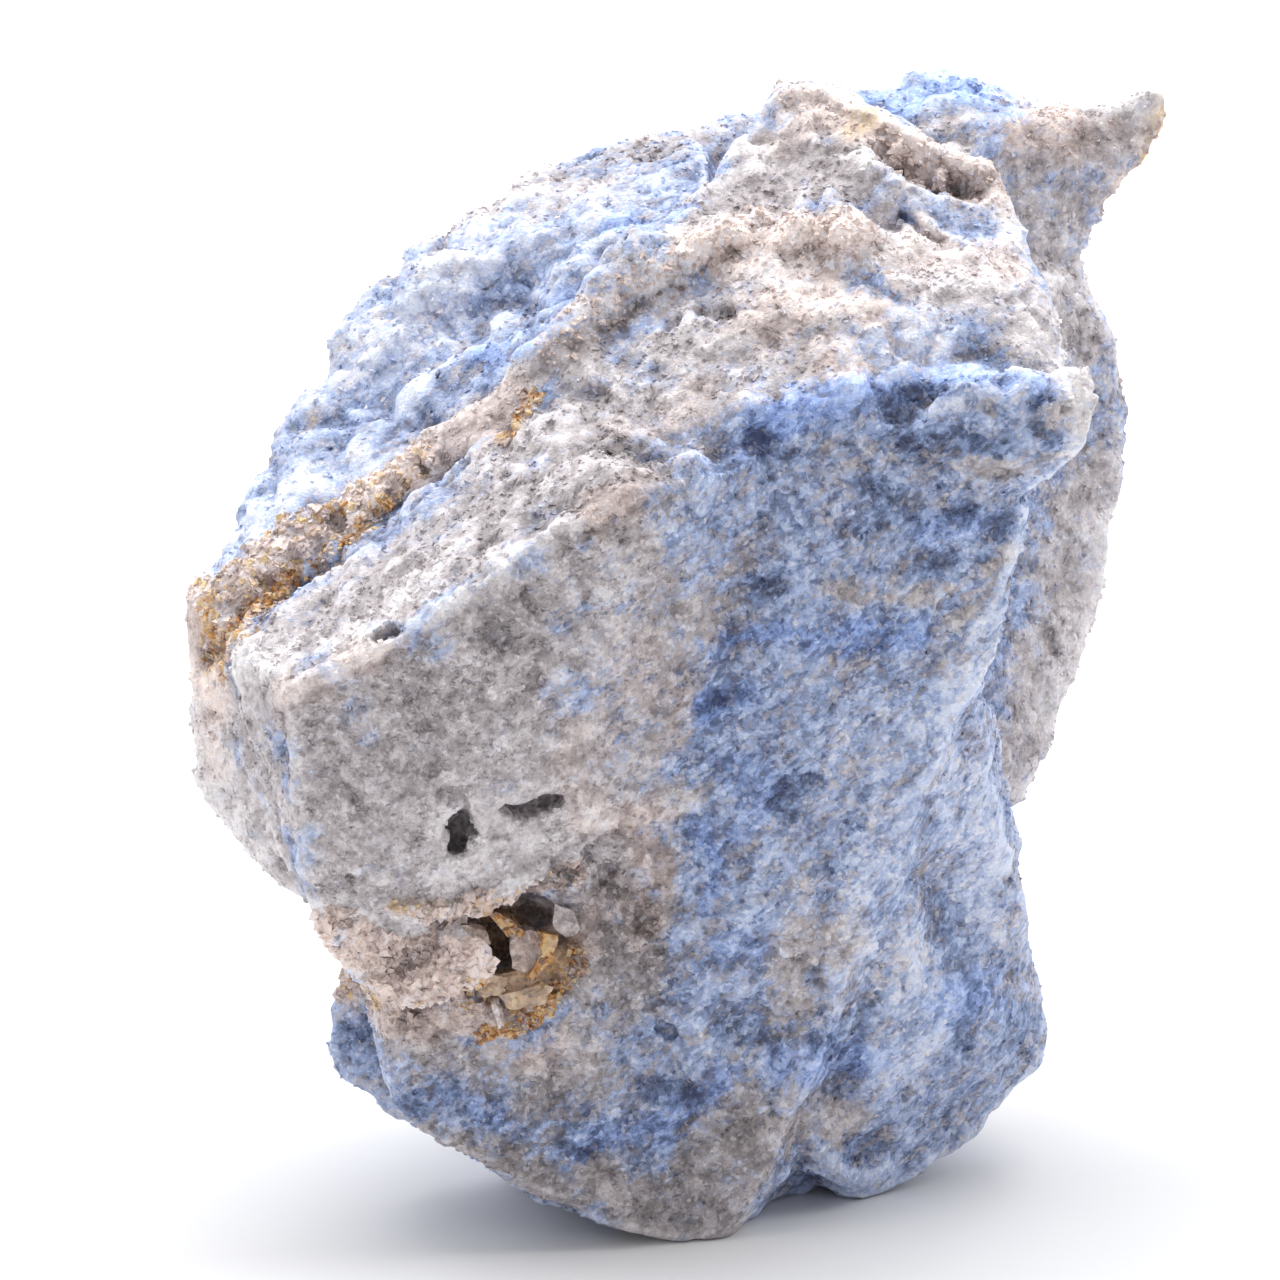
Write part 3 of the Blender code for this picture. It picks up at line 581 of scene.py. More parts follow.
class Regions:
    """Soft weights for the parts of the stone that break differently."""

    def __init__(self, mesh, paint):
        self.points = read_points(mesh)
        self.normals = read_normals(mesh)
        wobble = soft_noise(self.points, *REGION_EDGE)
        self.quartz = painted(self.points, paint["quartz"], wobble)
        self.slope = ease(self.normals[:, 2] - 0.45 * self.normals[:, 0], 0.25, 0.8) * (1.0 - self.quartz)
        self.face = ease(-self.normals[:, 1], 0.45, 0.8)
        self.foot = ease(self.points[:, 2], 0.15, 1.2)
        patches = soft_noise(self.points, *SUGAR_PATCHES)
        self.sugar = np.clip(self.quartz + 0.35 * self.slope + 0.2 * patches, 0.0, 1.0)

    def raise_by(self, mesh, height):
        write_points(mesh, self.points + self.normals * (height * self.foot)[:, None])


def carve(piece, picture):
    """Works the seam's floor, the hollows and the lips that are too fine for the solid."""
    mesh = piece.data
    points = read_points(mesh)
    normals = read_normals(mesh)
    wobble = soft_noise(points, *CARVED_EDGE)
    shift = np.zeros(len(points))
    for _name, half_width, height, *pixels in RELIEF:
        gap = path_distance(points, picture.path(pixels)) + 0.5 * half_width * wobble
        shift += height * ease(1.0 - gap / half_width, -0.25, 0.7)
    write_points(mesh, points + normals * shift[:, None])


def bend(points, reach, size, salt):
    """Points pushed about, so that what is made from them has no straight edges."""
    return points + reach * np.stack([soft_noise(points, size, salt + k, 2) for k in range(3)], axis=1)


def work_lumps(piece, sizes, paint):
    """Raises lumps, flat chips and streaks over the whole stone."""
    mesh = piece.data
    part = Regions(mesh, paint)
    points = part.points
    height = sizes.lump_height * soft_noise(points, *LUMPS) * (0.7 + 0.5 * part.slope)
    buds = np.abs(soft_noise(bend(points, *BUD_BEND), *BUDS)) + 0.35 * np.abs(soft_noise(points, *SMALL_BUDS))
    height += sizes.bud_height * (buds - 0.40) * part.slope
    bent = bend(points, *CHIP_BEND)
    rough = 0.45 + 0.55 * ease(soft_noise(points, *ROUGH_PATCHES), -0.4, 0.4)
    height += sizes.chip_height * chips(bent, *CHIPS) * rough * (1.0 - 0.35 * part.slope)
    height += 0.62 * sizes.chip_height * chips(bent, *SMALL_CHIPS) * rough
    along = np.array((math.cos(STREAK_TILT), 0.0, math.sin(STREAK_TILT)))
    drawn = points - 0.72 * (points @ along)[:, None] * along
    height += sizes.streak_height * soft_noise(drawn, *STREAKS) * part.face * (1.0 - 0.6 * part.quartz)
    part.raise_by(mesh, height)


def work_grains(piece, sizes, paint):
    """Breaks the skin into the small flat grains of the stone, with small pits between them."""
    mesh = piece.data
    part = Regions(mesh, paint)
    points = part.points
    strong = 0.5 + 0.5 * part.sugar
    height = sizes.grain_height * chips(bend(points, *GRAIN_BEND), sizes.grain_size, GRAINS_SALT) * strong
    height += 0.5 * sizes.grain_height * soft_noise(points, *GRANULES) * strong
    _way, gap, number = nearest_grain(points, *PITS)
    pits = ease(0.40 - gap, 0.0, 0.2) * (number > 0.82)
    height -= sizes.pit_depth * pits * (1.0 - 0.5 * part.face)
    part.raise_by(mesh, height)


def thin_out(piece, sizes):
    """Fewer faces, most of them taken from the unseen back."""
    mesh = piece.data
    normals = read_normals(mesh)
    away = 0.12 + 0.88 * ease(normals[:, 1] - 0.35 * normals[:, 2], -0.1, 0.5)
    group = piece.vertex_groups.new(name="away")
    levels = (away * (THINNING_LEVELS - 0.001)).astype(int)
    for level in range(THINNING_LEVELS):
        group.add(np.nonzero(levels == level)[0].tolist(), (level + 0.5) / THINNING_LEVELS, "REPLACE")
    share = sizes.skin_triangles / (2.0 * len(mesh.polygons))
    add_modifier(piece, "DECIMATE", ratio=min(1.0, share), vertex_group="away", vertex_group_factor=1.2)
    finish_mesh(piece)
    piece.vertex_groups.clear()


def stand_on_ground(piece):
    """Keeps the foot flat and the skin inside the solid's box."""
    low = np.array(solid_box[0]) / MM
    high = np.array(solid_box[1]) / MM
    points = read_points(piece.data)
    write_points(piece.data, np.clip(points, low, high))


def finishes(points, normals, paint):
    """The amount of each finish at each point."""
    wobble = soft_noise(points, *PAINT_EDGE)
    unseen = ease(normals[:, 1] + 0.12 * points[:, 1], 0.0, 1.2)
    amounts = {}
    for finish, strokes in paint.items():
        amount = painted(points, strokes, wobble)
        if finish in UNSEEN:
            size, low, high, most = UNSEEN[finish]
            salt = DRIFT_SALT + 10 * sorted(PAINT).index(finish)
            drift = soft_noise(points, size, salt, DRIFT_OCTAVES)
            amount = np.maximum(amount, most * unseen * ease(drift, low, high))
        amounts[finish] = amount
    return amounts


def paint_skin(piece, paint):
    """Writes the amount of each finish, and how deep each point lies, as attributes."""
    mesh = piece.data
    points = read_points(mesh)
    normals = read_normals(mesh)
    for finish, amount in finishes(points, normals, paint).items():
        write_attribute(mesh, finish, amount)
    level = points
    for _turn in range(SMOOTHING_TURNS):
        level = neighbour_mean(mesh, level)
    deep = ((level - points) * normals).sum(axis=1)
    write_attribute(mesh, "hollow", np.clip(deep / FULL_HOLLOW, -1.0, 1.0))


def write_attribute(mesh, name, values):
    layer = mesh.attributes.new(name, "FLOAT", "POINT")
    layer.data.foreach_set("value", values.astype(np.float32))


def build_skin(sizes, picture):
    paint = lay_paint(picture)
    piece = eased_copy(sizes)
    carve(piece, picture)
    work_lumps(piece, sizes, paint)
    work_grains(piece, sizes, paint)
    thin_out(piece, sizes)
    stand_on_ground(piece)
    paint_skin(piece, paint)
    piece.data.transform(Matrix.Scale(MM, 4))
    piece.data.polygons.foreach_set("use_smooth", [True] * len(piece.data.polygons))
    return piece


# Small pieces

def random_turns(random, count):
    """Turns in all directions, one for each block."""
    turns = np.linalg.qr(random.normal(size=(count, 3, 3)))[0]
    turns[:, :, 0] *= np.sign(np.linalg.det(turns))[:, None]
    return turns


def blocks_mesh(name, centres, halves, random):
    """Many small broken blocks, no two alike."""
    count = len(centres)
    corners = BLOCK_CORNERS * BLOCK_STRETCH + random.uniform(-0.38, 0.38, size=(count, 8, 3))
    corners *= random.uniform(0.75, 1.3, size=(count, 1, 3)) * halves[:, None, None]
    points = centres[:, None, :] + np.einsum("nij,nkj->nki", random_turns(random, count), corners)
    sides = (8 * np.arange(count)[:, None, None] + np.array(BLOCK_SIDES)).reshape(-1, 4)
    mesh = bpy.data.meshes.new(name)
    mesh.from_pydata(points.reshape(-1, 3).tolist(), [], sides.tolist())
    return mesh


def read_attribute(mesh, name):
    values = np.empty(len(mesh.vertices))
    mesh.attributes[name].data.foreach_get("value", values)
    return values


def scatter(skin, name, chosen, halves, sunk, random, own):
    """Sets blocks into the skin at the chosen points. They take its finishes there, or have their own."""
    mesh = skin.data
    centres = read_points(mesh)[chosen] / MM - read_normals(mesh)[chosen] * (halves * sunk)[:, None]
    made = blocks_mesh(name, centres, halves, random)
    for finish in FINISHES:
        values = own[finish] if finish in own else read_attribute(mesh, finish)[chosen]
        values = np.broadcast_to(values, len(chosen))
        write_attribute(made, finish, np.repeat(values, len(BLOCK_CORNERS)))
    made.transform(Matrix.Scale(MM, 4))
    return new_piece(name, made)


def build_grains(skin, sizes):
    """The sugar of quartz and dumortierite grains that stands out of the skin."""
    random = np.random.default_rng(GRAIN_SEED)
    mesh = skin.data
    points = read_points(mesh) / MM
    weight = 0.35 + 0.65 * read_attribute(mesh, "quartz") - 0.2 * np.abs(read_attribute(mesh, "hollow"))
    weight *= ease(points[:, 2], 0.8, 2.0) * ease(soft_noise(points, *GRAIN_PATCHES), -0.9, 0.5)
    chosen = random.choice(len(points), sizes.grain_count, replace=False, p=weight / weight.sum())
    halves = sizes.grain_half * random.uniform(0.6, 1.35, size=len(chosen))
    return scatter(skin, "quartz_grains", chosen, halves, GRAIN_SUNK, random, {})


def near_path(points, path, reach, random, count):
    """Points of the skin close to a path, picked at random."""
    close = np.nonzero(path_distance(points, path) < reach)[0]
    return random.choice(close, min(count, len(close)), replace=False)


def build_crumbs(skin, picture):
    """Broken quartz and stained crumbs: in the seam, on the vug's edge and on the crumbled ledge."""
    random = np.random.default_rng(CRUMB_SEED)
    points = read_points(skin.data) / MM
    picked = [near_path(points, picture.path(pixels), reach, random, count)
              for count, reach, _half, _rusty, *pixels in CRUMBS]
    half, rusty = (np.repeat([row[k] for row in CRUMBS], [len(each) for each in picked]) for k in (2, 3))
    chosen, first = np.unique(np.concatenate(picked), return_index=True)
    tone = random.uniform(size=len(chosen)) - rusty[first]
    own = {
        "quartz": 1.0,
        "warm": 1.0,
        "ochre": ease(0.16 - np.abs(tone - 0.08), 0.0, 0.10),
        "rust": ease(-tone, 0.0, 0.2),
        "pale": 0.5 * ease(tone, 0.3, 0.9),
        "navy": 0.0,
        "vivid": 0.0,
    }
    halves = half[first] * random.uniform(0.5, 1.5, size=len(chosen))
    return scatter(skin, "stained_crumbs", chosen, halves, CRUMB_SUNK, random, own)


def plate_sheet(sheet, outline, back):
    """A thick flake: the outline in front, and the same a little smaller where it sits in the wall."""
    outline = np.array(outline, dtype=float)
    middle = outline.mean(axis=0)
    rear = middle + PLATE_REAR_SHARE * (outline - middle) + np.array(back)
    front = [sheet.verts.new(point) for point in outline]
    rear = [sheet.verts.new(point) for point in rear]
    sheet.faces.new(front)
    sheet.faces.new(list(reversed(rear)))
    for index in range(len(front)):
        after = (index + 1) % len(front)
        sheet.faces.new((front[after], front[index], rear[index], rear[after]))


def build_plates(picture):
    """The flakes and blades that stand in the vug, each reaching back into its wall."""
    sheets = bmesh.new()
    finish = {name: sheets.verts.layers.float.new(name) for name in FINISHES}
    for _name, look, reach, *corners in PLATES:
        sheet = bmesh.new()
        outline = [picture.at_depth(*corner) for corner in zip(corners[::3], corners[1::3], corners[2::3])]
        plate_sheet(sheet, outline, reach * picture.ahead + Vector((0.0, 0.0, PLATE_REAR_RISE)))
        bmesh.ops.recalc_face_normals(sheet, faces=sheet.faces)
        bmesh.ops.triangulate(sheet, faces=sheet.faces)
        bmesh.ops.subdivide_edges(sheet, edges=sheet.edges, cuts=PLATE_CUTS, use_grid_fill=True)
        piece = bpy.data.meshes.new("plate")
        sheet.to_mesh(piece)
        sheet.free()
        first = len(sheets.verts)
        sheets.from_mesh(piece)
        bpy.data.meshes.remove(piece)
        sheets.verts.ensure_lookup_table()
        for vertex in sheets.verts[first:]:
            for name, amount in PLATE_LOOKS[look].items():
                vertex[finish[name]] = amount
    mesh = bpy.data.meshes.new("vug_plates")
    sheets.to_mesh(mesh)
    sheets.free()
    points = read_points(mesh)
    normals = read_normals(mesh)
    rough = 0.10 * chips(bend(points, *PLATE_BEND), *PLATE_CHIPS) + 0.05 * soft_noise(points, *PLATE_BUMPS)
    write_points(mesh, points + normals * rough[:, None])
    mesh.transform(Matrix.Scale(MM, 4))
    return new_piece("vug_plates", mesh)


# Material

class Wire:
    """A shader value that takes part in Python sums."""

    def __init__(self, shader, socket):
        self.shader = shader
        self.socket = socket

    def math(self, operation, *values):
        return self.shader.node("ShaderNodeMath", {"operation": operation}, values)

    def __add__(self, other):
        return self.math("ADD", self, other)

    def __sub__(self, other):
        return self.math("SUBTRACT", self, other)

    def __rsub__(self, other):
        return self.math("SUBTRACT", other, self)

    def __mul__(self, other):
        return self.math("MULTIPLY", self, other)

    __radd__ = __add__
    __rmul__ = __mul__

    def between(self, low, high):
        """0 at low, 1 at high, and smooth between."""
        values = {"Value": self, "From Min": low, "From Max": high}
        return self.shader.node("ShaderNodeMapRange", {"interpolation_type": "SMOOTHSTEP"}, values)

    def kept(self):
        """The value held between 0 and 1."""
        return self.shader.node("ShaderNodeClamp", {}, {"Value": self})


class Shader:
    """One material's nodes, made from Python expressions."""

    def __init__(self, name):
        self.material = bpy.data.materials.new(name)
        self.material.use_nodes = True
        self.tree = self.material.node_tree
        self.surface = self.tree.nodes["Principled BSDF"]

    def node(self, kind, settings, values, output=0):
        """Adds a node: its settings first, then the values or links of its sockets."""
        made = self.tree.nodes.new(kind)
        for name, setting in settings.items():
            if name == "stops":
                self.set_stops(made.color_ramp, setting)
            else:
                setattr(made, name, setting)
        self.feed(made, values if isinstance(values, dict) else dict(enumerate(values)))
        return Wire(self, made.outputs[output])

    def feed(self, node, values):
        for name, value in values.items():
            if isinstance(value, Wire):
                self.tree.links.new(value.socket, node.inputs[name])
            else:
                node.inputs[name].default_value = value

    def finish(self, values):
        """The material, once its surface has its values."""
        self.feed(self.surface, values)
        return self.material

    @staticmethod
    def set_stops(ramp, stops):
        while len(ramp.elements) < len(stops):
            ramp.elements.new(1.0)
        for element, (place, colour) in zip(ramp.elements, stops):
            element.position = place
            element.color = (*colour, 1.0)

    def amount(self, name):
        """A finish's amount from the skin's attributes."""
        return self.node("ShaderNodeAttribute", {"attribute_name": name}, {}, "Fac")

    def noise(self, place, scale, detail=3.0, rough=0.55, output="Fac"):
        values = {"Vector": place, "Scale": scale, "Detail": detail, "Roughness": rough}
        return self.node("ShaderNodeTexNoise", {}, values, output)

    def vector(self, operation, *values):
        return self.node("ShaderNodeVectorMath", {"operation": operation}, values)

    def mix(self, share, under, over, blend="MIX"):
        """Lays one colour over another."""
        under, over = (c if isinstance(c, Wire) else (*c, 1.0) for c in (under, over))
        values = {0: share, 6: under, 7: over}
        return self.node("ShaderNodeMix", {"data_type": "RGBA", "blend_type": blend}, values, 2)

    def ramp(self, value, stops):
        return self.node("ShaderNodeValToRGB", {"stops": stops}, {"Fac": value})


def facets(shader, place, scale):
    """Grains: how each one leans, and three random numbers for it."""
    colour = shader.node("ShaderNodeTexVoronoi", {}, {"Vector": place, "Scale": scale}, "Color")
    centre = Wire(shader, colour.socket.node.outputs["Position"])
    lean = shader.vector("SUBTRACT", colour, (0.5, 0.5, 0.5))
    way = shader.vector("SUBTRACT", place, centre)
    height = shader.node("ShaderNodeVectorMath", {"operation": "DOT_PRODUCT"}, (way, lean), "Value")
    return height, [shader.node("ShaderNodeSeparateColor", {}, {"Color": colour}, name) - 0.5
                    for name in ("Red", "Green", "Blue")]


def stone_material(look):
    """Blue dumortierite and grey quartz mixed by grain, stains, painted light on edges, painted shade in
    hollows.
    """
    shader = Shader("dumortierite_in_quartz")
    coordinates = shader.node("ShaderNodeTexCoord", {}, {}, "Object")
    place = shader.node("ShaderNodeVectorMath", {"operation": "SCALE"}, {0: coordinates, "Scale": 1.0 / MM})
    wander = shader.noise(place, 1.3, 2.0, 0.6, "Color")
    bent = shader.vector("ADD", place, shader.vector("MULTIPLY", wander, (0.68, 0.68, 0.68)))
    turn = {"Vector": bent, "Angle": STREAK_TILT}
    turned = shader.node("ShaderNodeVectorRotate", {"rotation_type": "Y_AXIS"}, turn)
    drawn = shader.vector("MULTIPLY", turned, (0.42, 1.0, 1.2))
    shake = shader.noise(place, 7.0, 1.0, 0.6, "Color")
    shaken = shader.vector("ADD", place, shader.vector("MULTIPLY", shake, (0.10, 0.10, 0.10)))

    big, (big_a, big_b, big_c) = facets(shader, shaken, 2.1)
    fine, (fine_a, fine_b, fine_c) = facets(shader, shaken, 5.2)
    long, (long_a, long_b, long_c) = facets(shader, drawn, 3.6)

    patch = shader.noise(bent, 0.28, 3.0) - 0.5
    streak = shader.noise(drawn, 0.9, 4.0, 0.62) - 0.5
    mottle = shader.noise(bent, 1.2, 4.0, 0.65) - 0.5
    dust = (shader.noise(place, 9.0, 1.0, 0.7) - 0.5) * 0.7

    quartz, vivid, navy, shade, warm, rust, ochre, pale, hollow = map(shader.amount, FINISHES)
    share = 0.74 - quartz * 0.96 + streak * 1.3 + patch * 1.0 + mottle * 1.2 + vivid * 0.40 + navy * 0.45
    share = share + big_a * 0.22 + fine_a * 0.36 + long_a * 0.40 + dust * 0.4
    blueness = share.between(0.0, 0.95)

    # Painted shade and light: shade strokes and deep points darken, raised points and pale strokes lighten
    tone = 0.50 + mottle * 0.9 + streak * 0.8 - navy * 0.30 - shade * 0.16 + pale * 0.30 - hollow * 0.20
    tone = tone + fine_b * 0.20 + long_b * 0.28 + big_b * 0.14 + dust * 0.38 - navy * fine_c * 0.3
    blue = shader.ramp(tone, (
        (0.05, look.blue_darkest), (0.32, look.blue_dark), (0.52, look.blue_middle),
        (0.74, look.blue_light), (0.98, look.blue_palest)))
    blue = shader.mix((vivid * 0.8).kept(), blue, look.vivid_tint, "MULTIPLY")

    # The same painted shade and light in the quartz's tone
    body = 0.54 + mottle * 0.75 + patch * 0.4 - shade * 0.34 + pale * 0.30 - hollow * 0.22
    body = body + fine_b * 0.20 + big_b * 0.17 + dust * 0.38
    grey = shader.ramp(body, (
        (0.04, look.quartz_darkest), (0.30, look.quartz_dark), (0.56, look.quartz_middle),
        (0.78, look.quartz_light), (0.98, look.quartz_palest)))
    grey = shader.mix((warm * 0.95).kept(), grey, look.warm_tint, "MULTIPLY")
    colour = shader.mix(blueness, grey, blue)

    # White grains, more of them under the pale strokes, which are partly painted light
    white = ((fine_c + big_c * 0.4).between(0.34, 0.50) * (0.30 + pale * 0.4 - navy * 0.2)).kept()
    colour = shader.mix(white, colour, look.sugar)
    # Dark specks between the grains, a few more of them in the painted shade
    dark = ((long_c * -1.0 + dust * 0.5).between(0.36, 0.56) * (0.34 + navy * 0.3 + shade * 0.2)).kept()
    colour = shader.mix(dark, colour, look.pepper)

    stain = (ochre * (0.75 + mottle * 2.0 + fine_a * 0.9 + dust)).kept()
    colour = shader.mix(stain, colour, look.ochre)
    crust = shader.ramp(0.5 + mottle * 1.3 + fine_b * 0.8 + big_b * 0.4 - hollow * 0.25, (
        (0.10, look.rust_dark), (0.50, look.rust), (0.90, look.ochre)))
    colour = shader.mix((rust * (1.0 + mottle * 2.2 + fine_c * 1.1 + dust)).kept(), colour, crust)
    # Painted shade: near black at the bottom of the deep holes under strong shade strokes
    colour = shader.mix((shade.between(0.7, 1.0) * hollow.between(-0.2, 0.9) * 0.8).kept(), colour, look.hole)

    rough = (0.60 + fine_c * 0.35 - (1.0 - blueness) * 0.08 + rust * 0.2).kept()
    relief = fine * 0.75 + big * 0.6 + long * 0.35 + dust * 0.10
    bumped = {"Strength": look.facet_strength, "Distance": MM, "Height": relief}
    normal = shader.node("ShaderNodeBump", {}, bumped)
    return shader.finish({"Normal": normal, "Base Color": colour, "Roughness": rough})


def plain_material(name, colour, rough):
    return Shader(name).finish({"Base Color": (*colour, 1.0), "Roughness": rough})


# Settings

def millimetres(name, description, default):
    return FloatProperty(name=name, description=description + ", in millimetres", default=default, min=0.0)


def colour(name, description, default):
    return FloatVectorProperty(name=name, description=description, subtype="COLOR", size=3, default=default,
                               min=0.0, max=2.0)


def fraction(name, description, default):
    return FloatProperty(name=name, description=description, default=default, min=0.0, max=1.0,
                         subtype="FACTOR")


class StoneSizes(bpy.types.PropertyGroup):
    """Sizes of what is worked on the skin."""

    skin_step: millimetres("Skin step", "Spacing of the points that the skin is worked with", 0.17)
    skin_triangles: IntProperty(name="Skin triangles", description="Triangles that the finished skin keeps",
                                default=194000, min=20000)
    rounding: fraction("Rounding", "How far the solid's facets are rounded off", 0.6)
    lump_height: millimetres("Lump height", "Height of the rounded lumps", 0.13)
    bud_height: millimetres("Bud height", "Height of the cauliflower buds on the upper slope", 0.85)
    chip_height: millimetres("Chip height", "Height of the flat chips", 0.15)
    streak_height: millimetres("Streak height", "Height of the fine drawn-out ribs", 0.035)
    grain_size: millimetres("Grain size", "Spacing of the quartz grains", 0.78)
    grain_height: millimetres("Grain height", "Height of the quartz grains", 0.055)
    pit_depth: millimetres("Pit depth", "Depth of the small pits between the grains", 0.16)
    grain_count: IntProperty(name="Grain count", description="Loose-standing grains on the skin",
                             default=15000, min=0)
    grain_half: millimetres("Grain half width", "Half the width of a common standing grain", 0.105)


class StoneColours(bpy.types.PropertyGroup):
    """Colours of the minerals and stains, and of the painted shade in deep holes."""

    blue_darkest: colour("Darkest blue", "Clots of nearly black blue", (0.045, 0.058, 0.125))
    blue_dark: colour("Dark blue", "Denim blue", (0.128, 0.174, 0.310))
    blue_middle: colour("Middle blue", "Common blue of the stone", (0.262, 0.342, 0.565))
    blue_light: colour("Light blue", "Blue mixed with white grains", (0.460, 0.550, 0.790))
    # The palest blue is reached in pale mottles and in the painted light on lit edges and tops
    blue_palest: colour("Palest blue", "Bleached blue on the edges", (0.730, 0.790, 0.955))
    vivid_tint: colour("Vivid tint", "Tint of the purest blue patches", (0.76, 0.91, 1.18))
    # The darkest quartz is reached in the painted shade of hollows, holes and the foot
    quartz_darkest: colour("Darkest quartz", "Smoky quartz in the hollows", (0.130, 0.117, 0.122))
    quartz_dark: colour("Dark quartz", "Grey quartz in shade", (0.300, 0.266, 0.274))
    quartz_middle: colour("Middle quartz", "Common grey of the quartz", (0.520, 0.472, 0.484))
    quartz_light: colour("Light quartz", "Light grey quartz", (0.750, 0.700, 0.712))
    quartz_palest: colour("Palest quartz", "White sugar of quartz", (0.920, 0.885, 0.895))
    warm_tint: colour("Warm tint", "Tint of the beige quartz", (1.06, 0.93, 0.84))
    sugar: colour("Sugar grains", "White grains on top of all", (0.88, 0.88, 0.95))
    pepper: colour("Pepper specks", "Dark specks between the grains", (0.055, 0.060, 0.085))
    ochre: colour("Ochre", "Yellow stain", (0.78, 0.57, 0.30))
    rust: colour("Rust", "Orange-brown stain", (0.62, 0.285, 0.080))
    rust_dark: colour("Dark rust", "Brown stain in hollows", (0.20, 0.095, 0.040))
    # Painted shade: the near black put at the bottom of deep holes
    hole: colour("Holes", "Bottom of the deep holes", (0.030, 0.025, 0.022))
    facet_strength: fraction("Facet strength", "How strongly the grains' own lean shows", 0.65)


class StudioSettings(bpy.types.PropertyGroup):
    """Camera, light and floor."""

    view_tilt: FloatProperty(name="Camera tilt", description="How steeply the camera looks down",
                             default=math.radians(15.0), subtype="ANGLE")
    view_distance: millimetres("Camera distance", "From the camera to the point it looks at", 340.0)
    view_width: millimetres("View width", "Width of the picture at that point", 57.6)
    view_target: FloatVectorProperty(name="Camera target", default=(-2.164, -11.985, 28.5),
                                     description="Point in the picture's middle, in millimetres")
    sky_strength: FloatProperty(name="Sky strength", description="Light from all around", default=0.55)
    top_power: FloatProperty(name="Top light", description="Power of the soft box overhead",
                             default=3.2, subtype="POWER")
    side_power: FloatProperty(name="Side lights", description="Power of each soft box at the sides",
                              default=1.15, subtype="POWER")
    floor_colour: colour("Floor colour", "Colour of the paper floor", (0.74, 0.74, 0.75))


# Operators

class StonePiece:
    """What the operators share."""

    bl_options = {"REGISTER", "UNDO"}

    @staticmethod
    def hold(piece):
        """Fixes a piece to the stone's body."""
        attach(piece, BODY)


class STONE_OT_skin(StonePiece, bpy.types.Operator):
    """Builds the stone's skin with its relief and finishes"""

    bl_idname = "stone.skin"
    bl_label = "Stone skin"

    def execute(self, context):
        piece = build_skin(context.scene.stone_sizes, Picture(context.scene.stone_studio))
        piece.data.materials.clear()
        piece.data.materials.append(stone_material(context.scene.stone_colours))
        self.hold(piece)
        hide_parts(NODE)
        return {"FINISHED"}


class STONE_OT_details(StonePiece, bpy.types.Operator):
    """Adds what stands on the skin: grains, stained crumbs, and the plates in the vug"""

    bl_idname = "stone.details"
    bl_label = "Grains, crumbs and plates"

    def execute(self, context):
        skin = bpy.data.objects["stone_skin"]
        picture = Picture(context.scene.stone_studio)
        grains = build_grains(skin, context.scene.stone_sizes)
        for piece in (grains, build_crumbs(skin, picture), build_plates(picture)):
            piece.data.materials.append(skin.data.materials[0])
            self.hold(piece)
        return {"FINISHED"}


class STONE_OT_stage(StonePiece, bpy.types.Operator):
    """Sets the paper floor, the lights and the camera"""

    bl_idname = "stone.stage"
    bl_label = "Floor, light and camera"

    def execute(self, context):
        studio = context.scene.stone_studio
        make_floor(studio)
        make_lights(studio)
        make_camera(studio)
        return {"FINISHED"}


def make_floor(studio):
    """A wide sheet of pale paper."""
    sheet = bmesh.new()
    bmesh.ops.create_grid(sheet, x_segments=8, y_segments=8, size=3.0)
    mesh = bpy.data.meshes.new("paper_floor")
    sheet.to_mesh(mesh)
    sheet.free()
    floor = new_piece("paper_floor", mesh)
    mesh.materials.append(plain_material("floor_paper", studio.floor_colour, 0.9))


def make_lights(studio):
    scene = bpy.context.scene
    world = bpy.data.worlds.new("white_room")
    world.use_nodes = True
    scene.world = world
    sky = world.node_tree.nodes["Background"]
    sky.inputs["Color"].default_value = (1.0, 1.0, 1.0, 1.0)
    sky.inputs["Strength"].default_value = studio.sky_strength
    soft_box("top_box", (-0.02, 0.10, 0.50), 0.50, studio.top_power)
    soft_box("left_box", (-0.38, 0.20, 0.34), 0.40, studio.side_power)
    soft_box("right_box", (0.42, 0.12, 0.34), 0.40, studio.side_power)


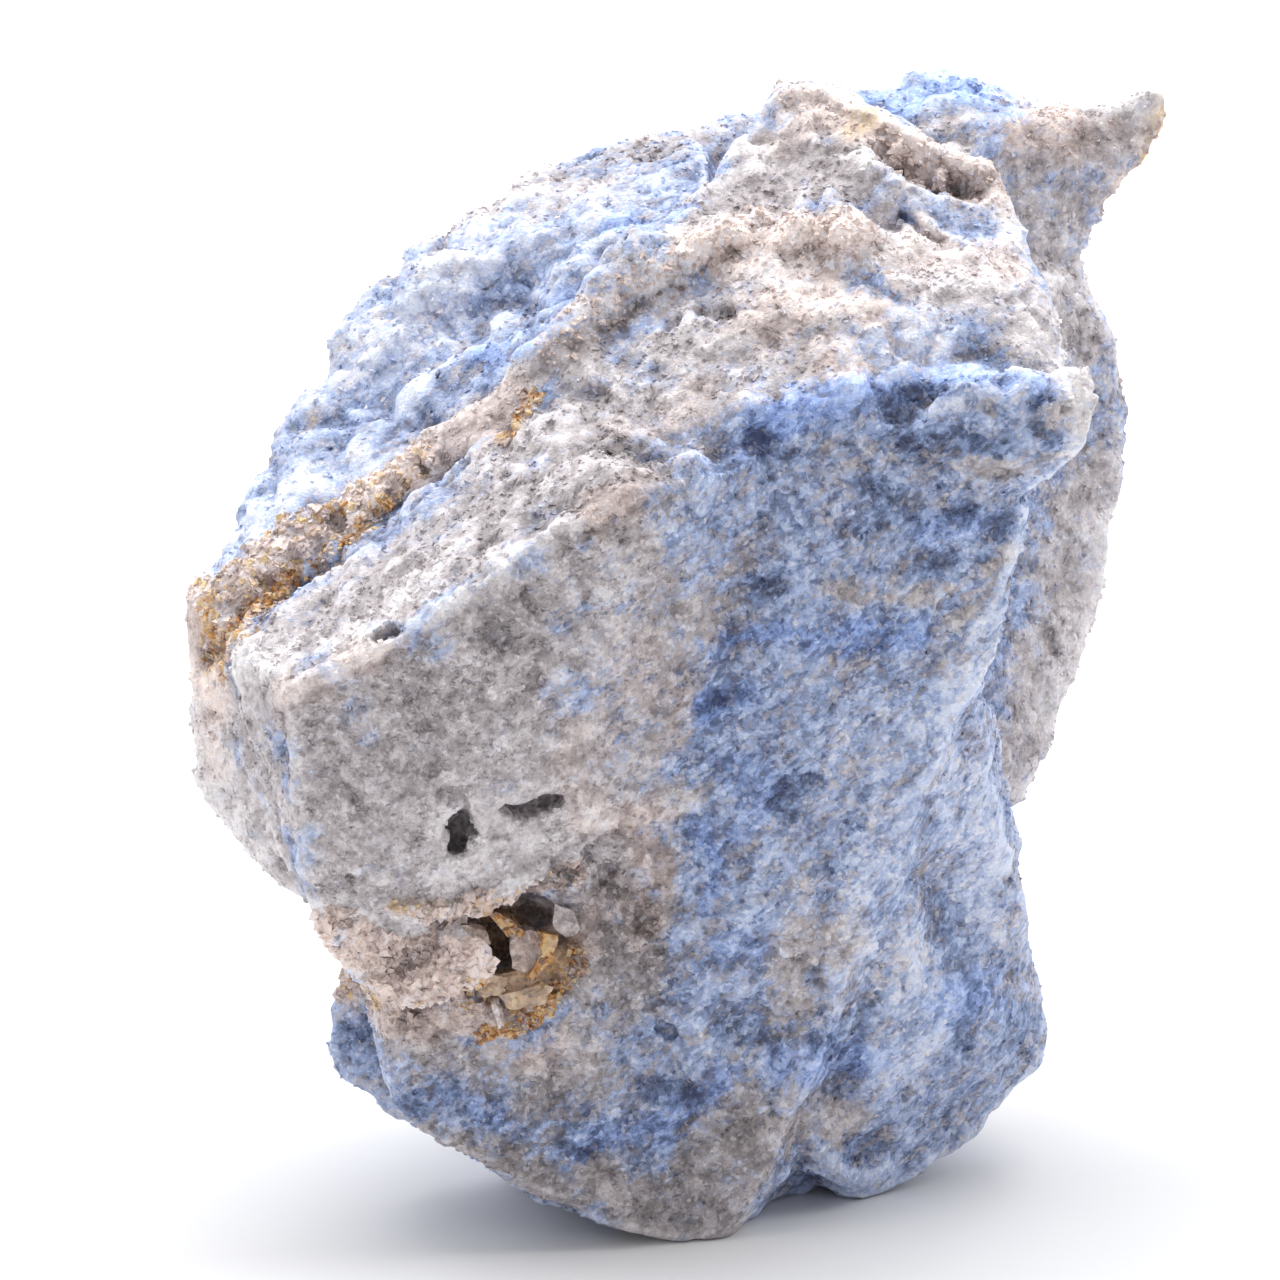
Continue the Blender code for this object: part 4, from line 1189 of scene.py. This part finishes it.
def soft_box(name, place, width, power):
    """A square lamp that faces the stone."""
    light = bpy.data.lights.new(name, "AREA")
    light.shape = "SQUARE"
    light.size = width
    light.energy = power
    lamp = bpy.data.objects.new(name, light)
    bpy.context.scene.collection.objects.link(lamp)
    lamp.location = place
    lamp.rotation_euler = (lamp.location - Vector((0.0, 0.0, 0.02))).to_track_quat("Z", "Y").to_euler()


def make_camera(studio):
    """The photograph's camera: a long lens that looks a little down."""
    tilt = studio.view_tilt
    data = bpy.data.cameras.new("camera")
    data.sensor_width = 36.0
    data.lens = data.sensor_width * studio.view_distance / studio.view_width
    data.clip_start = 0.01
    camera = bpy.data.objects.new("camera", data)
    bpy.context.scene.collection.objects.link(camera)
    back = Vector((0.0, -math.cos(tilt), math.sin(tilt)))
    camera.location = (Vector(studio.view_target) + studio.view_distance * back) * MM
    camera.rotation_euler = (math.pi / 2 - tilt, 0.0, 0.0)
    bpy.context.scene.camera = camera
    bpy.context.scene.view_settings.view_transform = "Standard"


class STONE_PT_panel(bpy.types.Panel):
    """Lists the stone's steps"""

    bl_label = "Rough dumortierite"
    bl_idname = "STONE_PT_panel"
    bl_space_type = "VIEW_3D"
    bl_region_type = "UI"
    bl_category = "Stone"

    def draw(self, context):
        layout = self.layout
        for group in (context.scene.stone_sizes, context.scene.stone_colours, context.scene.stone_studio):
            box = layout.box()
            for name in group.__annotations__:
                box.prop(group, name)
        for operator in OPERATORS:
            layout.operator(operator.bl_idname)


GROUPS = {"stone_sizes": StoneSizes, "stone_colours": StoneColours, "stone_studio": StudioSettings}
OPERATORS = (STONE_OT_skin, STONE_OT_details, STONE_OT_stage)
CLASSES = (*GROUPS.values(), *OPERATORS, STONE_PT_panel)


def register():
    for each in CLASSES:
        bpy.utils.register_class(each)
    for name, group in GROUPS.items():
        setattr(bpy.types.Scene, name, PointerProperty(type=group))


def unregister():
    for name in GROUPS:
        delattr(bpy.types.Scene, name)
    for each in reversed(CLASSES):
        bpy.utils.unregister_class(each)


def main():
    register()
    bpy.ops.stone.skin()
    bpy.ops.stone.details()
    bpy.ops.stone.stage()


if __name__ == "__main__":
    main()
